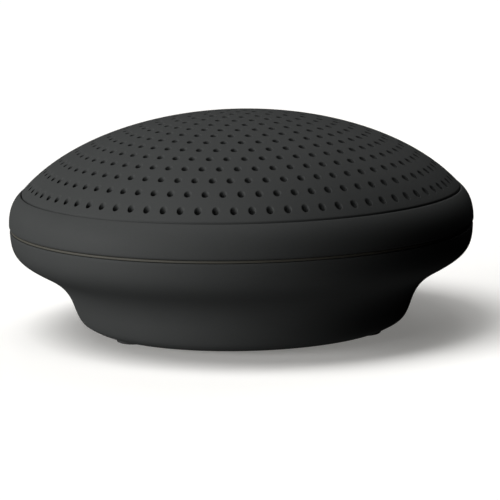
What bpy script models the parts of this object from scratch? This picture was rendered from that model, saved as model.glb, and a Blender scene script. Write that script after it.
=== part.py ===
"""Portable round speaker, modelled as the separate pieces that it comes apart into.

Metres, +Z up, the front towards -Y, the origin on the table under the middle of the speaker.
The grille is at the top, the controls and sockets are in a bay at the back (+Y).
"""

import math

import bmesh
import bpy
from mathutils import Matrix, Vector
from mathutils.geometry import interpolate_bezier

# ---------------------------------------------------------------- driving dimensions

# Outside of the housing
RIM_RADIUS = 0.0500  # widest point
RIM_FULLNESS = 0.0008  # height of the widest point above the seam
SEAM_HEIGHT = 0.0227  # middle of the seam between the two halves, above the table
RIM_HEIGHT = 0.0077  # seam to the edge of the grille
GRILLE_INSET = 0.0025  # widest radius to the edge of the grille
DOME_RISE = 0.0165  # edge of the grille to its top
DOME_SPREAD = 0.0058  # how much wider the dome's ellipse is than the grille
FOOT_PROUD = 0.0007  # table to the underside of the pedestal
LIP_STEP = 0.0002  # overhang of the upper half over the lower one
BOWL_INSET = 0.0062  # widest radius to the turn under the bowl
BOWL_HEIGHT = 0.0129  # pedestal's underside to that turn
WAIST_INSET = 0.0131  # widest radius to the waist
WAIST_HEIGHT = 0.0050  # pedestal's underside to the waist
BASE_INSET = 0.0168  # widest radius to the edge of the pedestal
BASE_ROUND = 0.0014  # width of the rounding at the pedestal's edge
BASE_EDGE = 0.0003  # height of that rounding
RING_EDGE = 0.0002  # rounding of the ring's edge at the grille

# Walls and fits
WALL = 0.0020  # lower shell
GRILLE_WALL = 0.0016
FLOOR = 0.0020
CLEARANCE = 0.0003  # between pieces that touch or slide
GLUE_LINE = 0.0001  # between pieces that are glued or clamped face to face
GASKET_HEIGHT = 0.0005
TONGUE_INSET = 0.0028  # widest radius to the tongue that the halves meet on
TONGUE_WIDTH = 0.0014
TONGUE_HEIGHT = 0.0018
FLOOR_FILLET = 0.0006
CLOTH_THICKNESS = 0.0004

# Ledge of the upper shell, baffle and their screws
LEDGE_DROP = 0.0031  # edge of the grille down to the top of the ledge
LEDGE_WIDTH = 0.0065
PLATE = 0.0020  # ledge and baffle
POST_RADIUS = 0.0030
BOSS_WALL = 0.0010  # how much wider a boss is than the post on it
BOSS_HEIGHT = 0.0055
SCREW_RADIUS = 0.0013
SCREW_HEAD_RADIUS = 0.0026
SCREW_HEAD = 0.0019
SCREW_GRIP = 0.0090  # length of a case screw inside its post
SMALL_SCREW_RADIUS = 0.0009
SMALL_HEAD_RADIUS = 0.0018
SMALL_HEAD = 0.0012
SMALL_SCREW_LENGTH = 0.0055

# Feet
FOOT_RADIUS = 0.0042
FOOT_RECESS = 0.0008
FOOT_OVERHANG = 0.0004  # how far a foot reaches past the flat underside
FOOT_EDGE = 0.0004
HEAD_GAP = 0.0005  # foot to the head of the case screw above it

# Driver
DRIVER_RADIUS = 0.0260
DRIVER_OPENING = 0.0208
CONE_RADIUS = 0.0172
CONE_DEPTH = 0.0085
BASKET_DEPTH = 0.0112
BASKET_FOOT_RADIUS = 0.0148
SHEET = 0.0012  # pressed sheet of the basket
COIL_RADIUS = 0.0066
COIL_WALL = 0.0006
COIL_LENGTH = 0.0062
MAGNET_RADIUS = 0.0150
MAGNET_HOLE = 0.0095
MAGNET_HEIGHT = 0.0040
POLE_PLATE = 0.0016
PAPER = 0.0004  # cone, dust cap and spider
ROLL_HEIGHT = 0.0016
DRIVER_SCREW_CIRCLE = 0.0241
DRIVER_GASKET = 0.0006
THROAT_STEP = 0.0010  # how far the basket narrows under its flange
SURROUND_LIP = 0.0010
CONE_LAP = 0.0012  # surround over the cone's edge
CAP_LAP = 0.0013  # dust cap past the coil
CAP_HEIGHT = 0.0026
CAP_LIFT = 0.0022  # bottom of the cone to the dust cap's edge
CONE_BELLY = 0.0008  # how far the cone's wall hangs below a straight one
WAVES = 8  # half waves of the spider
WAVE_HEIGHT = 0.0004
LUG = Vector((0.0064, 0.0080))
LUG_X = -0.0190
LUG_DROP = 0.0070  # flange to the terminal lug
STRIP = Vector((0.0020, 0.0072, 0.0020))
STRIP_X = -0.0209

# Bay at the back, with its controls and sockets
BAY_ROOF = 0.00115  # seam to the top of the bay
BAY_END = 0.00035  # slider's slot to the end of the fascia
BAY_SETBACK = 0.0002
BAY_WALL = 0.0015
BAY_SURROUND = 0.0024  # thickened wall beyond each end of the bay
BAY_RIB = 0.0007  # and above and below it
BAY_CORNER = 0.0012
FASCIA = 0.0005
FASCIA_BRIDGE = 0.0003  # fascia left above and below its largest hole
BUTTON_RADIUS = 0.0016
BUTTON_PROUD = 0.0008
BUTTON_TRAVEL = 0.0005
BUTTON_GAP = 0.0008  # microphone's hole to the first button's
BUTTON_STEM = 0.0006
STEM_GRIP = 0.0007  # stem inside its switch
COLLAR = 0.0008  # thickness of the collars that keep the controls in
COLLAR_MARGIN = 0.00045
SLIDER_WIDTH = 0.0022
SLIDER_HEIGHT = 0.0016
SLIDER_TRAVEL = 0.0025
SLIDER_COLLAR = 0.0010  # how much wider the slider's collar is than its knob
SLIDER_STEM = 0.0012
SLIDER_STEM_LENGTH = 0.0018
SLIDE_SWITCH = Vector((0.0064, 0.0034))
SWITCH_GAP = 0.00035
USB_X = -0.0089
USB_WIDTH = 0.0076
USB_HEIGHT = 0.0029
USB_SHELL = 0.0004
USB_TONGUE = 0.0006
USB_DEPTH = 0.0050
USB_BODY = 0.0042
JACK_X = -0.0159
JACK_BORE = 0.00175
JACK_LENGTH = 0.0110
JACK_BELOW = 0.00015  # jack's wall under its bore
JACK_ABOVE = 0.00095
JACK_SIDE = 0.00095
JACK_GAP = 0.0004
JACK_WALL_BACK = 0.0024  # jack's wall behind its bore
LED_X = -0.0034
LIGHT_PIPE_RADIUS = 0.00055
MIC_X = -0.0014
MIC_HOLE = 0.0005
PIPE_BEHIND = 0.0012  # light pipe behind the bay's wall

# Electronics
BOARD = 0.0012
BOARD_WALL_GAP = 0.0021  # back wall of the bay to the board's edge
BOARD_FRONT = -0.0020
BOARD_POST = 0.0023
BOARD_POST_SET = 0.0015  # inside of the waist to the board's posts
BOARD_SCREW_Y = 0.0065
MAGNET_GAP = 0.0035  # magnet to the hole in the board round it
BATTERY = Vector((0.0400, 0.0300, 0.0060))
BATTERY_Y = -0.0020
TAPE = 0.0006
TAPE_MARGIN = 0.0030
PLUG = 0.0050  # height of the board's plugs
WIRE_RADIUS = 0.0005

ROUND = 48  # sides of the housing
MEDIUM = 24  # of the driver and the feet
SMALL = 16
TINY = 8

# ---------------------------------------------------------------- levels and radii that follow

GRILLE_RADIUS = RIM_RADIUS - GRILLE_INSET
GRILLE_EDGE_Z = SEAM_HEIGHT + RIM_HEIGHT
DOME_WIDTH = GRILLE_RADIUS + DOME_SPREAD
DOME_DEPTH = DOME_RISE / (1 - math.sqrt(1 - (GRILLE_RADIUS / DOME_WIDTH) ** 2))
DOME_MIDDLE_Z = GRILLE_EDGE_Z + DOME_RISE - DOME_DEPTH
CAP_RADIUS = GRILLE_RADIUS - CLEARANCE / 2
RING_BORE = GRILLE_RADIUS + CLEARANCE / 2

SEAM_TOP = SEAM_HEIGHT + GASKET_HEIGHT / 2 + GLUE_LINE
SEAM_BOTTOM = SEAM_HEIGHT - GASKET_HEIGHT / 2 - GLUE_LINE
TONGUE_RADIUS = RIM_RADIUS - TONGUE_INSET
LEDGE_TOP = GRILLE_EDGE_Z - LEDGE_DROP
LEDGE_BORE = RING_BORE - LEDGE_WIDTH
BAFFLE_BOTTOM = LEDGE_TOP + CLEARANCE
BAFFLE_TOP = BAFFLE_BOTTOM + PLATE
BAFFLE_RADIUS = CAP_RADIUS - GRILLE_WALL - CLEARANCE
RING_SCREW_CIRCLE = LEDGE_BORE + SMALL_HEAD_RADIUS + CLEARANCE
RING_SCREW_ANGLES = (30, 150, 270)

BASE_Z = FOOT_PROUD
FLOOR_TOP = BASE_Z + FLOOR
BASE_FLAT = RIM_RADIUS - BASE_INSET - BASE_ROUND
FOOT_CIRCLE = BASE_FLAT - FOOT_RADIUS + FOOT_OVERHANG
FOOT_ANGLES = (-30, 90, 210)
FOOT_TOP = BASE_Z + FOOT_RECESS
BOSS_RADIUS = POST_RADIUS + BOSS_WALL
BOSS_TOP = FLOOR_TOP + BOSS_HEIGHT
SCREW_HEAD_Z = FOOT_TOP + HEAD_GAP

FLANGE_Z = BAFFLE_TOP + DRIVER_GASKET + 4 * GLUE_LINE
FLANGE_TOP = FLANGE_Z + SHEET
BASKET_BOTTOM = FLANGE_Z - BASKET_DEPTH
TOP_PLATE_Z = BASKET_BOTTOM - CLEARANCE - POLE_PLATE
MAGNET_Z = TOP_PLATE_Z - CLEARANCE - MAGNET_HEIGHT
YOKE_Z = MAGNET_Z - CLEARANCE - POLE_PLATE
LIP_Z = FLANGE_TOP + GLUE_LINE
CONE_TOP = LIP_Z - CLEARANCE
CONE_BOTTOM = CONE_TOP - CONE_DEPTH
COIL_TOP = CONE_BOTTOM - CLEARANCE
SPIDER_Z = BASKET_BOTTOM + SHEET + 2 * PAPER
LUG_Z = FLANGE_Z - LUG_DROP

# Across the bay, from the microphone to the slider
BUTTON_PITCH = 2 * (BUTTON_RADIUS + COLLAR_MARGIN) + CLEARANCE
MINUS_X = MIC_X + MIC_HOLE + BUTTON_GAP + BUTTON_RADIUS + CLEARANCE
PLAY_X = MINUS_X + BUTTON_PITCH
PLUS_X = PLAY_X + BUTTON_PITCH
SWITCH_WIDTH = BUTTON_PITCH - CLEARANCE
SLIDER_X = PLUS_X + SWITCH_WIDTH / 2 + SWITCH_GAP + SLIDE_SWITCH.x / 2
BAY_WIDTH = 2 * (SLIDER_X + (SLIDER_TRAVEL + SLIDER_WIDTH) / 2 + CLEARANCE + BAY_END)
BAY_HEIGHT = 2 * (max(JACK_BORE, BUTTON_RADIUS) + 2 * CLEARANCE + FASCIA_BRIDGE)
BAY_Z = SEAM_HEIGHT - BAY_ROOF - BAY_HEIGHT / 2

BOARD_BELOW_BAY = JACK_BORE + JACK_BELOW + CLEARANCE
BOARD_TOP = BAY_Z - BOARD_BELOW_BAY
ON_BOARD = BOARD_TOP + GLUE_LINE
STAND = BAY_Z - ON_BOARD  # height of the bay's middle over what stands on the board
BOARD_HOLE = MAGNET_RADIUS + MAGNET_GAP
BOARD_SCREW_X = RIM_RADIUS - WAIST_INSET - WALL - BOARD_POST_SET


# ---------------------------------------------------------------- materials


def plastic(name, colour, roughness, metallic=0.0):
    """A Principled material with one colour."""
    material = bpy.data.materials.new(name)
    material.use_nodes = True
    shader = material.node_tree.nodes["Principled BSDF"]
    shader.inputs["Base Color"].default_value = (*colour, 1.0)
    shader.inputs["Roughness"].default_value = roughness
    shader.inputs["Metallic"].default_value = metallic
    return material


def make_finishes():
    """All the finishes, by name."""
    return {
        "soft_touch": plastic("soft_touch", (0.045, 0.046, 0.046), 0.62),
        "inner_plastic": plastic("inner_plastic", (0.030, 0.030, 0.032), 0.55),
        "gasket": plastic("gasket", (0.150, 0.135, 0.110), 0.70),
        "rubber": plastic("rubber", (0.020, 0.020, 0.020), 0.80),
        "cloth": plastic("cloth", (0.012, 0.012, 0.013), 0.95),
        "steel": plastic("steel", (0.55, 0.56, 0.58), 0.35, 1.0),
        "black_steel": plastic("black_steel", (0.05, 0.05, 0.055), 0.45, 1.0),
        "paper": plastic("paper", (0.035, 0.034, 0.033), 0.90),
        "copper": plastic("copper", (0.72, 0.36, 0.20), 0.40, 1.0),
        "spider_cloth": plastic("spider_cloth", (0.45, 0.30, 0.12), 0.90),
        "ferrite": plastic("ferrite", (0.09, 0.09, 0.095), 0.60),
        "circuit_board": plastic("circuit_board", (0.02, 0.14, 0.06), 0.40),
        "chip": plastic("chip", (0.025, 0.025, 0.027), 0.50),
        "capacitor_sleeve": plastic("capacitor_sleeve", (0.03, 0.05, 0.16), 0.35),
        "nylon": plastic("nylon", (0.80, 0.78, 0.72), 0.50),
        "cell_wrap": plastic("cell_wrap", (0.62, 0.64, 0.66), 0.30),
        "foam_tape": plastic("foam_tape", (0.75, 0.75, 0.72), 0.90),
        "clear": plastic("clear", (0.85, 0.88, 0.90), 0.10),
        "wire_red": plastic("wire_red", (0.60, 0.02, 0.02), 0.40),
        "wire_black": plastic("wire_black", (0.015, 0.015, 0.015), 0.40),
        "gloss_panel": plastic("gloss_panel", (0.020, 0.020, 0.022), 0.22),
    }


# ---------------------------------------------------------------- tools for making shapes


def fresh_scene():
    """Removes what the startup scene holds and makes the two collections."""
    for obj in list(bpy.data.objects):
        bpy.data.objects.remove(obj)
    for name in ("portable_speaker", "cutters"):
        bpy.context.scene.collection.children.link(bpy.data.collections.new(name))


def put(obj, finish):
    """Files an object as a piece with its finish, or as a cutter when it has none."""
    if finish is None:
        bpy.data.collections["cutters"].objects.link(obj)
        obj.hide_render = True
        obj.display_type = "WIRE"
    else:
        bpy.data.collections["portable_speaker"].objects.link(obj)
        obj.data.materials.append(finish)
    return obj


def turned(name, profile, finish, steps=ROUND, at=(0, 0, 0)):
    """Turns a profile of (radius, height) about Z. It runs down the outer side.

    A profile that starts and ends on the axis stays open there, and any other is closed.
    """
    points = [(radius, 0, height) for radius, height in profile]
    edges = [(i, i + 1) for i in range(len(points) - 1)]
    if profile[0][0] > 0:
        edges.append((len(points) - 1, 0))
    mesh = bpy.data.meshes.new(name)
    mesh.from_pydata(points, edges, [])
    obj = put(bpy.data.objects.new(name, mesh), finish)
    obj.location = at
    screw = obj.modifiers.new("turn", "SCREW")
    screw.steps = screw.render_steps = steps
    screw.use_merge_vertices = True
    screw.merge_threshold = 0.00001
    screw.use_smooth_shade = True
    return obj


def from_bmesh(name, shape, finish, at):
    mesh = bpy.data.meshes.new(name)
    shape.to_mesh(mesh)
    shape.free()
    obj = put(bpy.data.objects.new(name, mesh), finish)
    obj.location = at
    return obj


def block(name, size, centre, finish, rounding=0.0, axis="Z"):
    """A box. Its edges along the axis are rounded where a rounding is given."""
    shape = bmesh.new()
    bmesh.ops.create_cube(shape, size=1.0, matrix=Matrix.Diagonal((*size, 1)))
    if rounding:
        along = "XYZ".index(axis)
        reach = size[along] / 2
        edges = [e for e in shape.edges if abs((e.verts[0].co - e.verts[1].co)[along]) > reach]
        bmesh.ops.bevel(
            shape, geom=edges, offset=rounding, segments=3, profile=0.5, affect="EDGES", material=-1
        )
    return from_bmesh(name, shape, finish, centre)


def rod(name, radius, start, length, finish, axis="Z", sides=SMALL):
    """A cylinder from start along +Z or +Y."""
    shape = bmesh.new()
    bmesh.ops.create_cone(
        shape,
        cap_ends=True,
        segments=sides,
        radius1=radius,
        radius2=radius,
        depth=length,
        matrix=Matrix.Translation((0, 0, length / 2)),
    )
    if axis == "Y":
        bmesh.ops.rotate(shape, verts=shape.verts, matrix=Matrix.Rotation(-math.pi / 2, 3, "X"))
    for face in shape.faces:
        face.smooth = len(face.verts) == 4
    return from_bmesh(name, shape, finish, start)


def boolean(obj, other, operation):
    modifier = obj.modifiers.new(other.name, "BOOLEAN")
    modifier.operation = operation
    modifier.object = other
    return obj


def cut(obj, *cutters):
    for cutter in cutters:
        boolean(obj, cutter, "DIFFERENCE")
    return obj


def join(obj, *others):
    for other in others:
        boolean(obj, other, "UNION")
    return obj


def on_circle(radius, degrees, height=0.0):
    angle = math.radians(degrees)
    return Vector((radius * math.cos(angle), radius * math.sin(angle), height))


def curve_points(start, heading_start, reach_start, end, heading_end, reach_end, count):
    """Points of a Bezier between two (radius, height) points, with headings in degrees."""
    first = Vector((*start, 0))
    last = Vector((*end, 0))
    leave = first + on_circle(reach_start, heading_start)
    arrive = last - on_circle(reach_end, heading_end)
    return [(p.x, p.y) for p in interpolate_bezier(first, leave, arrive, last, count)]


# ---------------------------------------------------------------- outlines of the housing


def dome_height(radius, inward=0.0):
    """Height of the dome, or of the surface that far inside it, at a radius."""
    share = radius / (DOME_WIDTH - inward)
    return DOME_MIDDLE_Z + (DOME_DEPTH - inward) * math.sqrt(1 - share * share)


def dome_points(edge_radius, inward, count):
    """The dome from its top to a radius, closer together where it is steeper."""
    radii = [edge_radius * math.sin(math.pi / 2 * i / count) for i in range(count + 1)]
    return [(radius, dome_height(radius, inward)) for radius in radii]


def rim_outline():
    """The upper shell's outside, from the grille's edge down to the seam."""
    return curve_points(
        (RING_BORE + RING_EDGE, GRILLE_EDGE_Z - RING_EDGE / 2),
        -62,
        0.0036,
        (RIM_RADIUS, SEAM_HEIGHT + RIM_FULLNESS),
        -90,
        0.0034,
        6,
    )


def bowl_outline():
    """The lower shell's outside, from the seam down to the pedestal's edge."""
    turn = (RIM_RADIUS - BOWL_INSET, BASE_Z + BOWL_HEIGHT)
    waist = (RIM_RADIUS - WAIST_INSET, BASE_Z + WAIST_HEIGHT)
    edge = (RIM_RADIUS - BASE_INSET, BASE_Z + BASE_EDGE)
    bowl = curve_points((RIM_RADIUS - LIP_STEP, SEAM_BOTTOM), -92, 0.0048, turn, 209, 0.0055, 7)
    neck = curve_points(turn, 209, 0.0043, waist, 251, 0.0041, 5)
    foot = curve_points(waist, 251, 0.0041, edge, 209, 0.0022, 4)
    return bowl + neck[1:] + foot[1:]


def inside_of(outline, thickness):
    """An outline moved in by a wall's thickness."""
    moved = []
    for i, point in enumerate(outline):
        before = Vector(outline[max(i - 1, 0)])
        after = Vector(outline[min(i + 1, len(outline) - 1)])
        along = (after - before).normalized()
        moved.append((point[0] + thickness * along.y, point[1] - thickness * along.x))
    return moved


def radius_at(outline, height):
    """Radius of a falling outline at a height."""
    for (r1, z1), (r2, z2) in zip(outline, outline[1:]):
        if z2 <= height <= z1:
            return r2 + (r1 - r2) * (height - z2) / (z1 - z2)
    return outline[-1][0]


def inner_wall():
    """The lower shell's inside, from the top of its tongue down to the floor."""
    bore = TONGUE_RADIUS - TONGUE_WIDTH
    root = SEAM_BOTTOM - TONGUE_WIDTH
    inside = inside_of(bowl_outline(), WALL)[::2]
    wall = [p for p in inside if FLOOR_TOP + CLEARANCE < p[1] < root - WALL]
    floor = (wall[-1][0] - FLOOR_FILLET, FLOOR_TOP)
    return [(bore, SEAM_TOP + TONGUE_HEIGHT), (bore, root), *wall, floor]


def room(x, height, depth):
    """How far back (+Y) a piece may reach inside the shell, at a place across it."""
    levels = [height, height - depth / 2, height - depth]
    radius = min(radius_at(inner_wall(), level) for level in levels) - CLEARANCE
    return math.sqrt(radius**2 - x**2)


BAY_CORNER_RADIUS = radius_at(bowl_outline(), BAY_Z - BAY_HEIGHT / 2)
SLIDER_END = SLIDER_X + (SLIDER_TRAVEL + SLIDER_WIDTH + SLIDER_COLLAR) / 2
SLIDER_REACH = SLIDER_HEIGHT + SLIDER_COLLAR  # height of the slider's collar
BAY_FACE_Y = min(
    math.sqrt(BAY_CORNER_RADIUS**2 - (BAY_WIDTH / 2) ** 2) - BAY_SETBACK,
    room(SLIDER_END, BAY_Z + SLIDER_REACH / 2, SLIDER_REACH) + BAY_WALL + CLEARANCE,
)
BAY_BACK_Y = BAY_FACE_Y - BAY_WALL
FASCIA_Y = BAY_FACE_Y + GLUE_LINE + FASCIA  # outer face of the fascia
BOARD_RADIUS = min(BAY_BACK_Y - BOARD_WALL_GAP, room(0, BOARD_TOP, BOARD))
COLLAR_BACK_Y = BAY_BACK_Y - CLEARANCE - COLLAR


# ---------------------------------------------------------------- housing


def make_grille_dome(finish):
    outer = dome_points(CAP_RADIUS, 0, 9)
    inner_radius = CAP_RADIUS - GRILLE_WALL
    inner = dome_points(inner_radius, GRILLE_WALL, 6)
    skirt_z = LEDGE_TOP + CLEARANCE
    skirt = [(CAP_RADIUS, skirt_z), (inner_radius, skirt_z)]
    turned("grille_dome", outer + skirt + inner[::-1], finish["soft_touch"])


def make_grille_cloth(finish):
    edge = BAFFLE_RADIUS - CLEARANCE
    outer = dome_points(edge, GRILLE_WALL + CLEARANCE, 6)
    inner = dome_points(edge, GRILLE_WALL + CLEARANCE + CLOTH_THICKNESS, 6)
    turned("grille_cloth", outer + inner[::-1], finish["cloth"], MEDIUM)


def make_upper_shell(finish):
    bore_below = TONGUE_RADIUS + CLEARANCE
    ledge_bottom = LEDGE_TOP - PLATE
    profile = [(RING_BORE, GRILLE_EDGE_Z - 1.5 * RING_EDGE)]
    profile += rim_outline()
    profile += [
        (RIM_RADIUS - LIP_STEP / 2, SEAM_TOP),
        (bore_below, SEAM_TOP),
        (bore_below, ledge_bottom),
        (LEDGE_BORE, ledge_bottom),
        (LEDGE_BORE, LEDGE_TOP),
        (RING_BORE, LEDGE_TOP),
    ]
    shell = turned("upper_shell", profile, finish["soft_touch"])
    for number, degrees in enumerate(RING_SCREW_ANGLES, 1):
        hole = on_circle(RING_SCREW_CIRCLE, degrees, ledge_bottom - PLATE)
        radius = SMALL_SCREW_RADIUS + CLEARANCE
        cut(shell, rod(f"ring_screw_hole_{number}", radius, hole, 3 * PLATE, None, sides=TINY))


def make_seam_gasket(finish):
    bottom = SEAM_HEIGHT - GASKET_HEIGHT / 2
    top = SEAM_HEIGHT + GASKET_HEIGHT / 2
    outer = RIM_RADIUS - 1.5 * LIP_STEP
    inner = TONGUE_RADIUS + CLEARANCE
    profile = [(outer, top), (outer, bottom), (inner, bottom), (inner, top)]
    turned("seam_gasket", profile, finish["gasket"])


def make_lower_shell(finish):
    outside = bowl_outline()
    inside = inner_wall()
    profile = [(0, FLOOR_TOP)] + inside[::-1]
    profile += [(TONGUE_RADIUS, inside[0][1]), (TONGUE_RADIUS, SEAM_BOTTOM)]
    profile += outside
    profile += [(BASE_FLAT, BASE_Z), (0, BASE_Z)]
    shell = turned("lower_shell", profile, finish["soft_touch"])
    add_bay(shell, outside)
    add_screw_bosses(shell)
    add_board_posts(shell)


def add_bay(shell, outside):
    """Thickens the wall at the back and sinks the flat-faced bay into it, with its openings."""
    middle_y = BAY_BACK_Y + RIM_RADIUS / 2
    size = (BAY_WIDTH + 2 * BAY_SURROUND, RIM_RADIUS, BAY_HEIGHT + 2 * BAY_RIB)
    thick = block("bay_block", size, (0, middle_y, BAY_Z), None)
    envelope = [(0, SEAM_BOTTOM)] + outside + [(0, outside[-1][1])]
    boolean(thick, turned("bowl_envelope", envelope, None), "INTERSECT")
    join(shell, thick)
    pocket = block(
        "bay_pocket",
        (BAY_WIDTH, RIM_RADIUS, BAY_HEIGHT),
        (0, BAY_FACE_Y + RIM_RADIUS / 2, BAY_Z),
        None,
        BAY_CORNER,
        "Y",
    )
    cut(shell, pocket, *bay_openings("shell", BAY_BACK_Y - WALL, BAY_WALL + 2 * WALL))


def bay_openings(owner, start_y, depth):
    """Cutters for what passes through the bay's wall or its fascia."""
    middle_y = start_y + depth / 2
    openings = []
    for name, x in button_places():
        at = (x, start_y, BAY_Z)
        openings.append(rod(f"{owner}_{name}_hole", BUTTON_RADIUS + CLEARANCE, at, depth, None, "Y"))
    slot = (SLIDER_WIDTH + SLIDER_TRAVEL + 2 * CLEARANCE, depth, SLIDER_HEIGHT + 2 * CLEARANCE)
    openings.append(block(f"{owner}_slider_slot", slot, (SLIDER_X, middle_y, BAY_Z), None))
    mouth = (USB_WIDTH + 2 * CLEARANCE, depth, USB_HEIGHT + 2 * CLEARANCE)
    openings.append(block(f"{owner}_usb_hole", mouth, (USB_X, middle_y, BAY_Z), None))
    rounds = {
        "jack": (JACK_X, JACK_BORE + CLEARANCE),
        "light": (LED_X, LIGHT_PIPE_RADIUS + CLEARANCE),
        "mic": (MIC_X, MIC_HOLE),
    }
    for name, (x, radius) in rounds.items():
        sides = SMALL if name == "jack" else TINY
        at = (x, start_y, BAY_Z)
        openings.append(rod(f"{owner}_{name}_hole", radius, at, depth, None, "Y", sides))
    return openings


def add_screw_bosses(shell):
    """The bosses that the case screws pass through, and the recesses that the feet sit in."""
    for number, degrees in enumerate(FOOT_ANGLES, 1):
        below = on_circle(FOOT_CIRCLE, degrees, BASE_Z - PLATE)
        boss = on_circle(FOOT_CIRCLE, degrees, FLOOR_TOP - FLOOR / 2)
        join(shell, rod(f"boss_{number}", BOSS_RADIUS, boss, BOSS_TOP - boss.z, None, sides=TINY))
        foot_depth = FOOT_TOP - below.z
        foot_fit = FOOT_RADIUS + CLEARANCE
        recess = rod(f"recess_{number}", foot_fit, below, foot_depth, None, sides=MEDIUM)
        seat = SCREW_HEAD_Z + SCREW_HEAD + CLEARANCE
        bore = rod(f"bore_{number}", SCREW_HEAD_RADIUS + CLEARANCE, below, seat - below.z, None)
        hole = rod(f"hole_{number}", SCREW_RADIUS + CLEARANCE, below, 2 * BOSS_TOP, None)
        cut(shell, recess, bore, hole)


def add_board_posts(shell):
    top = BOARD_TOP - BOARD - CLEARANCE
    for number, side in enumerate((-1, 1), 1):
        foot = Vector((side * BOARD_SCREW_X, BOARD_SCREW_Y, FLOOR_TOP + WALL))
        join(shell, rod(f"board_post_{number}", BOARD_POST, foot, top - foot.z, None))
        pilot = Vector((foot.x, foot.y, top - SMALL_SCREW_LENGTH))
        depth = 2 * WALL + BOARD + SMALL_SCREW_LENGTH
        radius = SMALL_SCREW_RADIUS + CLEARANCE
        cut(shell, rod(f"board_pilot_{number}", radius, pilot, depth, None, sides=TINY))


def make_feet(finish):
    for number, degrees in enumerate(FOOT_ANGLES, 1):
        height = FOOT_TOP - GLUE_LINE
        profile = [
            (0, height),
            (FOOT_RADIUS, height),
            (FOOT_RADIUS, FOOT_EDGE),
            (FOOT_RADIUS - FOOT_EDGE, 0),
            (0, 0),
        ]
        turned(f"foot_{number}", profile, finish["rubber"], MEDIUM, on_circle(FOOT_CIRCLE, degrees))


def screw_profile(head_radius, head, radius, length):
    """A pan-head screw with its head at the bottom and its point at the top."""
    return [
        (0, head + length),
        (radius * 0.4, head + length),
        (radius, head + length - radius),
        (radius, head),
        (head_radius, head),
        (head_radius, head * 0.45),
        (head_radius * 0.7, 0),
        (0, 0),
    ]


def make_case_screws(finish):
    length = BOSS_TOP + CLEARANCE + SCREW_GRIP - SCREW_HEAD_Z - SCREW_HEAD
    profile = screw_profile(SCREW_HEAD_RADIUS, SCREW_HEAD, SCREW_RADIUS, length)
    for number, degrees in enumerate(FOOT_ANGLES, 1):
        at = on_circle(FOOT_CIRCLE, degrees, SCREW_HEAD_Z)
        turned(f"case_screw_{number}", profile, finish["steel"], TINY, at)


def make_baffle_plate(finish):
    profile = [
        (BAFFLE_RADIUS, BAFFLE_TOP),
        (BAFFLE_RADIUS, BAFFLE_BOTTOM),
        (DRIVER_OPENING, BAFFLE_BOTTOM),
        (DRIVER_OPENING, BAFFLE_TOP),
    ]
    plate = turned("baffle_plate", profile, finish["inner_plastic"])
    post_z = BOSS_TOP + CLEARANCE
    for number, degrees in enumerate(FOOT_ANGLES, 1):
        foot = on_circle(FOOT_CIRCLE, degrees, post_z)
        join(plate, rod(f"post_{number}", POST_RADIUS, foot, BAFFLE_TOP - PLATE / 2 - post_z, None))
        start = on_circle(FOOT_CIRCLE, degrees, post_z - WALL)
        depth = SCREW_GRIP + 2 * WALL
        cut(plate, rod(f"post_pilot_{number}", SCREW_RADIUS + CLEARANCE, start, depth, None, sides=12))
    for number, degrees in enumerate(RING_SCREW_ANGLES, 1):
        at = on_circle(RING_SCREW_CIRCLE, degrees, BAFFLE_BOTTOM - PLATE)
        radius = SMALL_SCREW_RADIUS + CLEARANCE
        cut(plate, rod(f"ring_pilot_{number}", radius, at, 3 * PLATE, None, sides=12))
    for number, degrees in enumerate((45, 135, 225, 315), 1):
        at = on_circle(DRIVER_SCREW_CIRCLE, degrees, BAFFLE_BOTTOM - PLATE)
        radius = SMALL_SCREW_RADIUS + CLEARANCE
        cut(plate, rod(f"driver_pilot_{number}", radius, at, 3 * PLATE, None, sides=12))


def make_ring_screws(finish):
    """Screws from below that clamp the ledge to the baffle."""
    profile = screw_profile(SMALL_HEAD_RADIUS, SMALL_HEAD, SMALL_SCREW_RADIUS, 2 * PLATE)
    height = LEDGE_TOP - PLATE - CLEARANCE - SMALL_HEAD
    for number, degrees in enumerate(RING_SCREW_ANGLES, 1):
        at = on_circle(RING_SCREW_CIRCLE, degrees, height)
        turned(f"ring_screw_{number}", profile, finish["steel"], TINY, at)


# ---------------------------------------------------------------- driver


def make_driver_gasket(finish):
    bottom = BAFFLE_TOP + GLUE_LINE
    top = bottom + DRIVER_GASKET
    inner = DRIVER_OPENING + CLEARANCE
    profile = [(DRIVER_RADIUS, top), (DRIVER_RADIUS, bottom), (inner, bottom), (inner, top)]
    gasket = turned("driver_gasket", profile, finish["cloth"], MEDIUM)
    cut_driver_holes(gasket, "gasket")


def cut_driver_holes(obj, owner):
    for number, degrees in enumerate((45, 135, 225, 315), 1):
        at = on_circle(DRIVER_SCREW_CIRCLE, degrees, BAFFLE_TOP - PLATE)
        radius = SMALL_SCREW_RADIUS + CLEARANCE
        cut(obj, rod(f"{owner}_screw_hole_{number}", radius, at, 3 * PLATE, None, sides=TINY))


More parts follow.
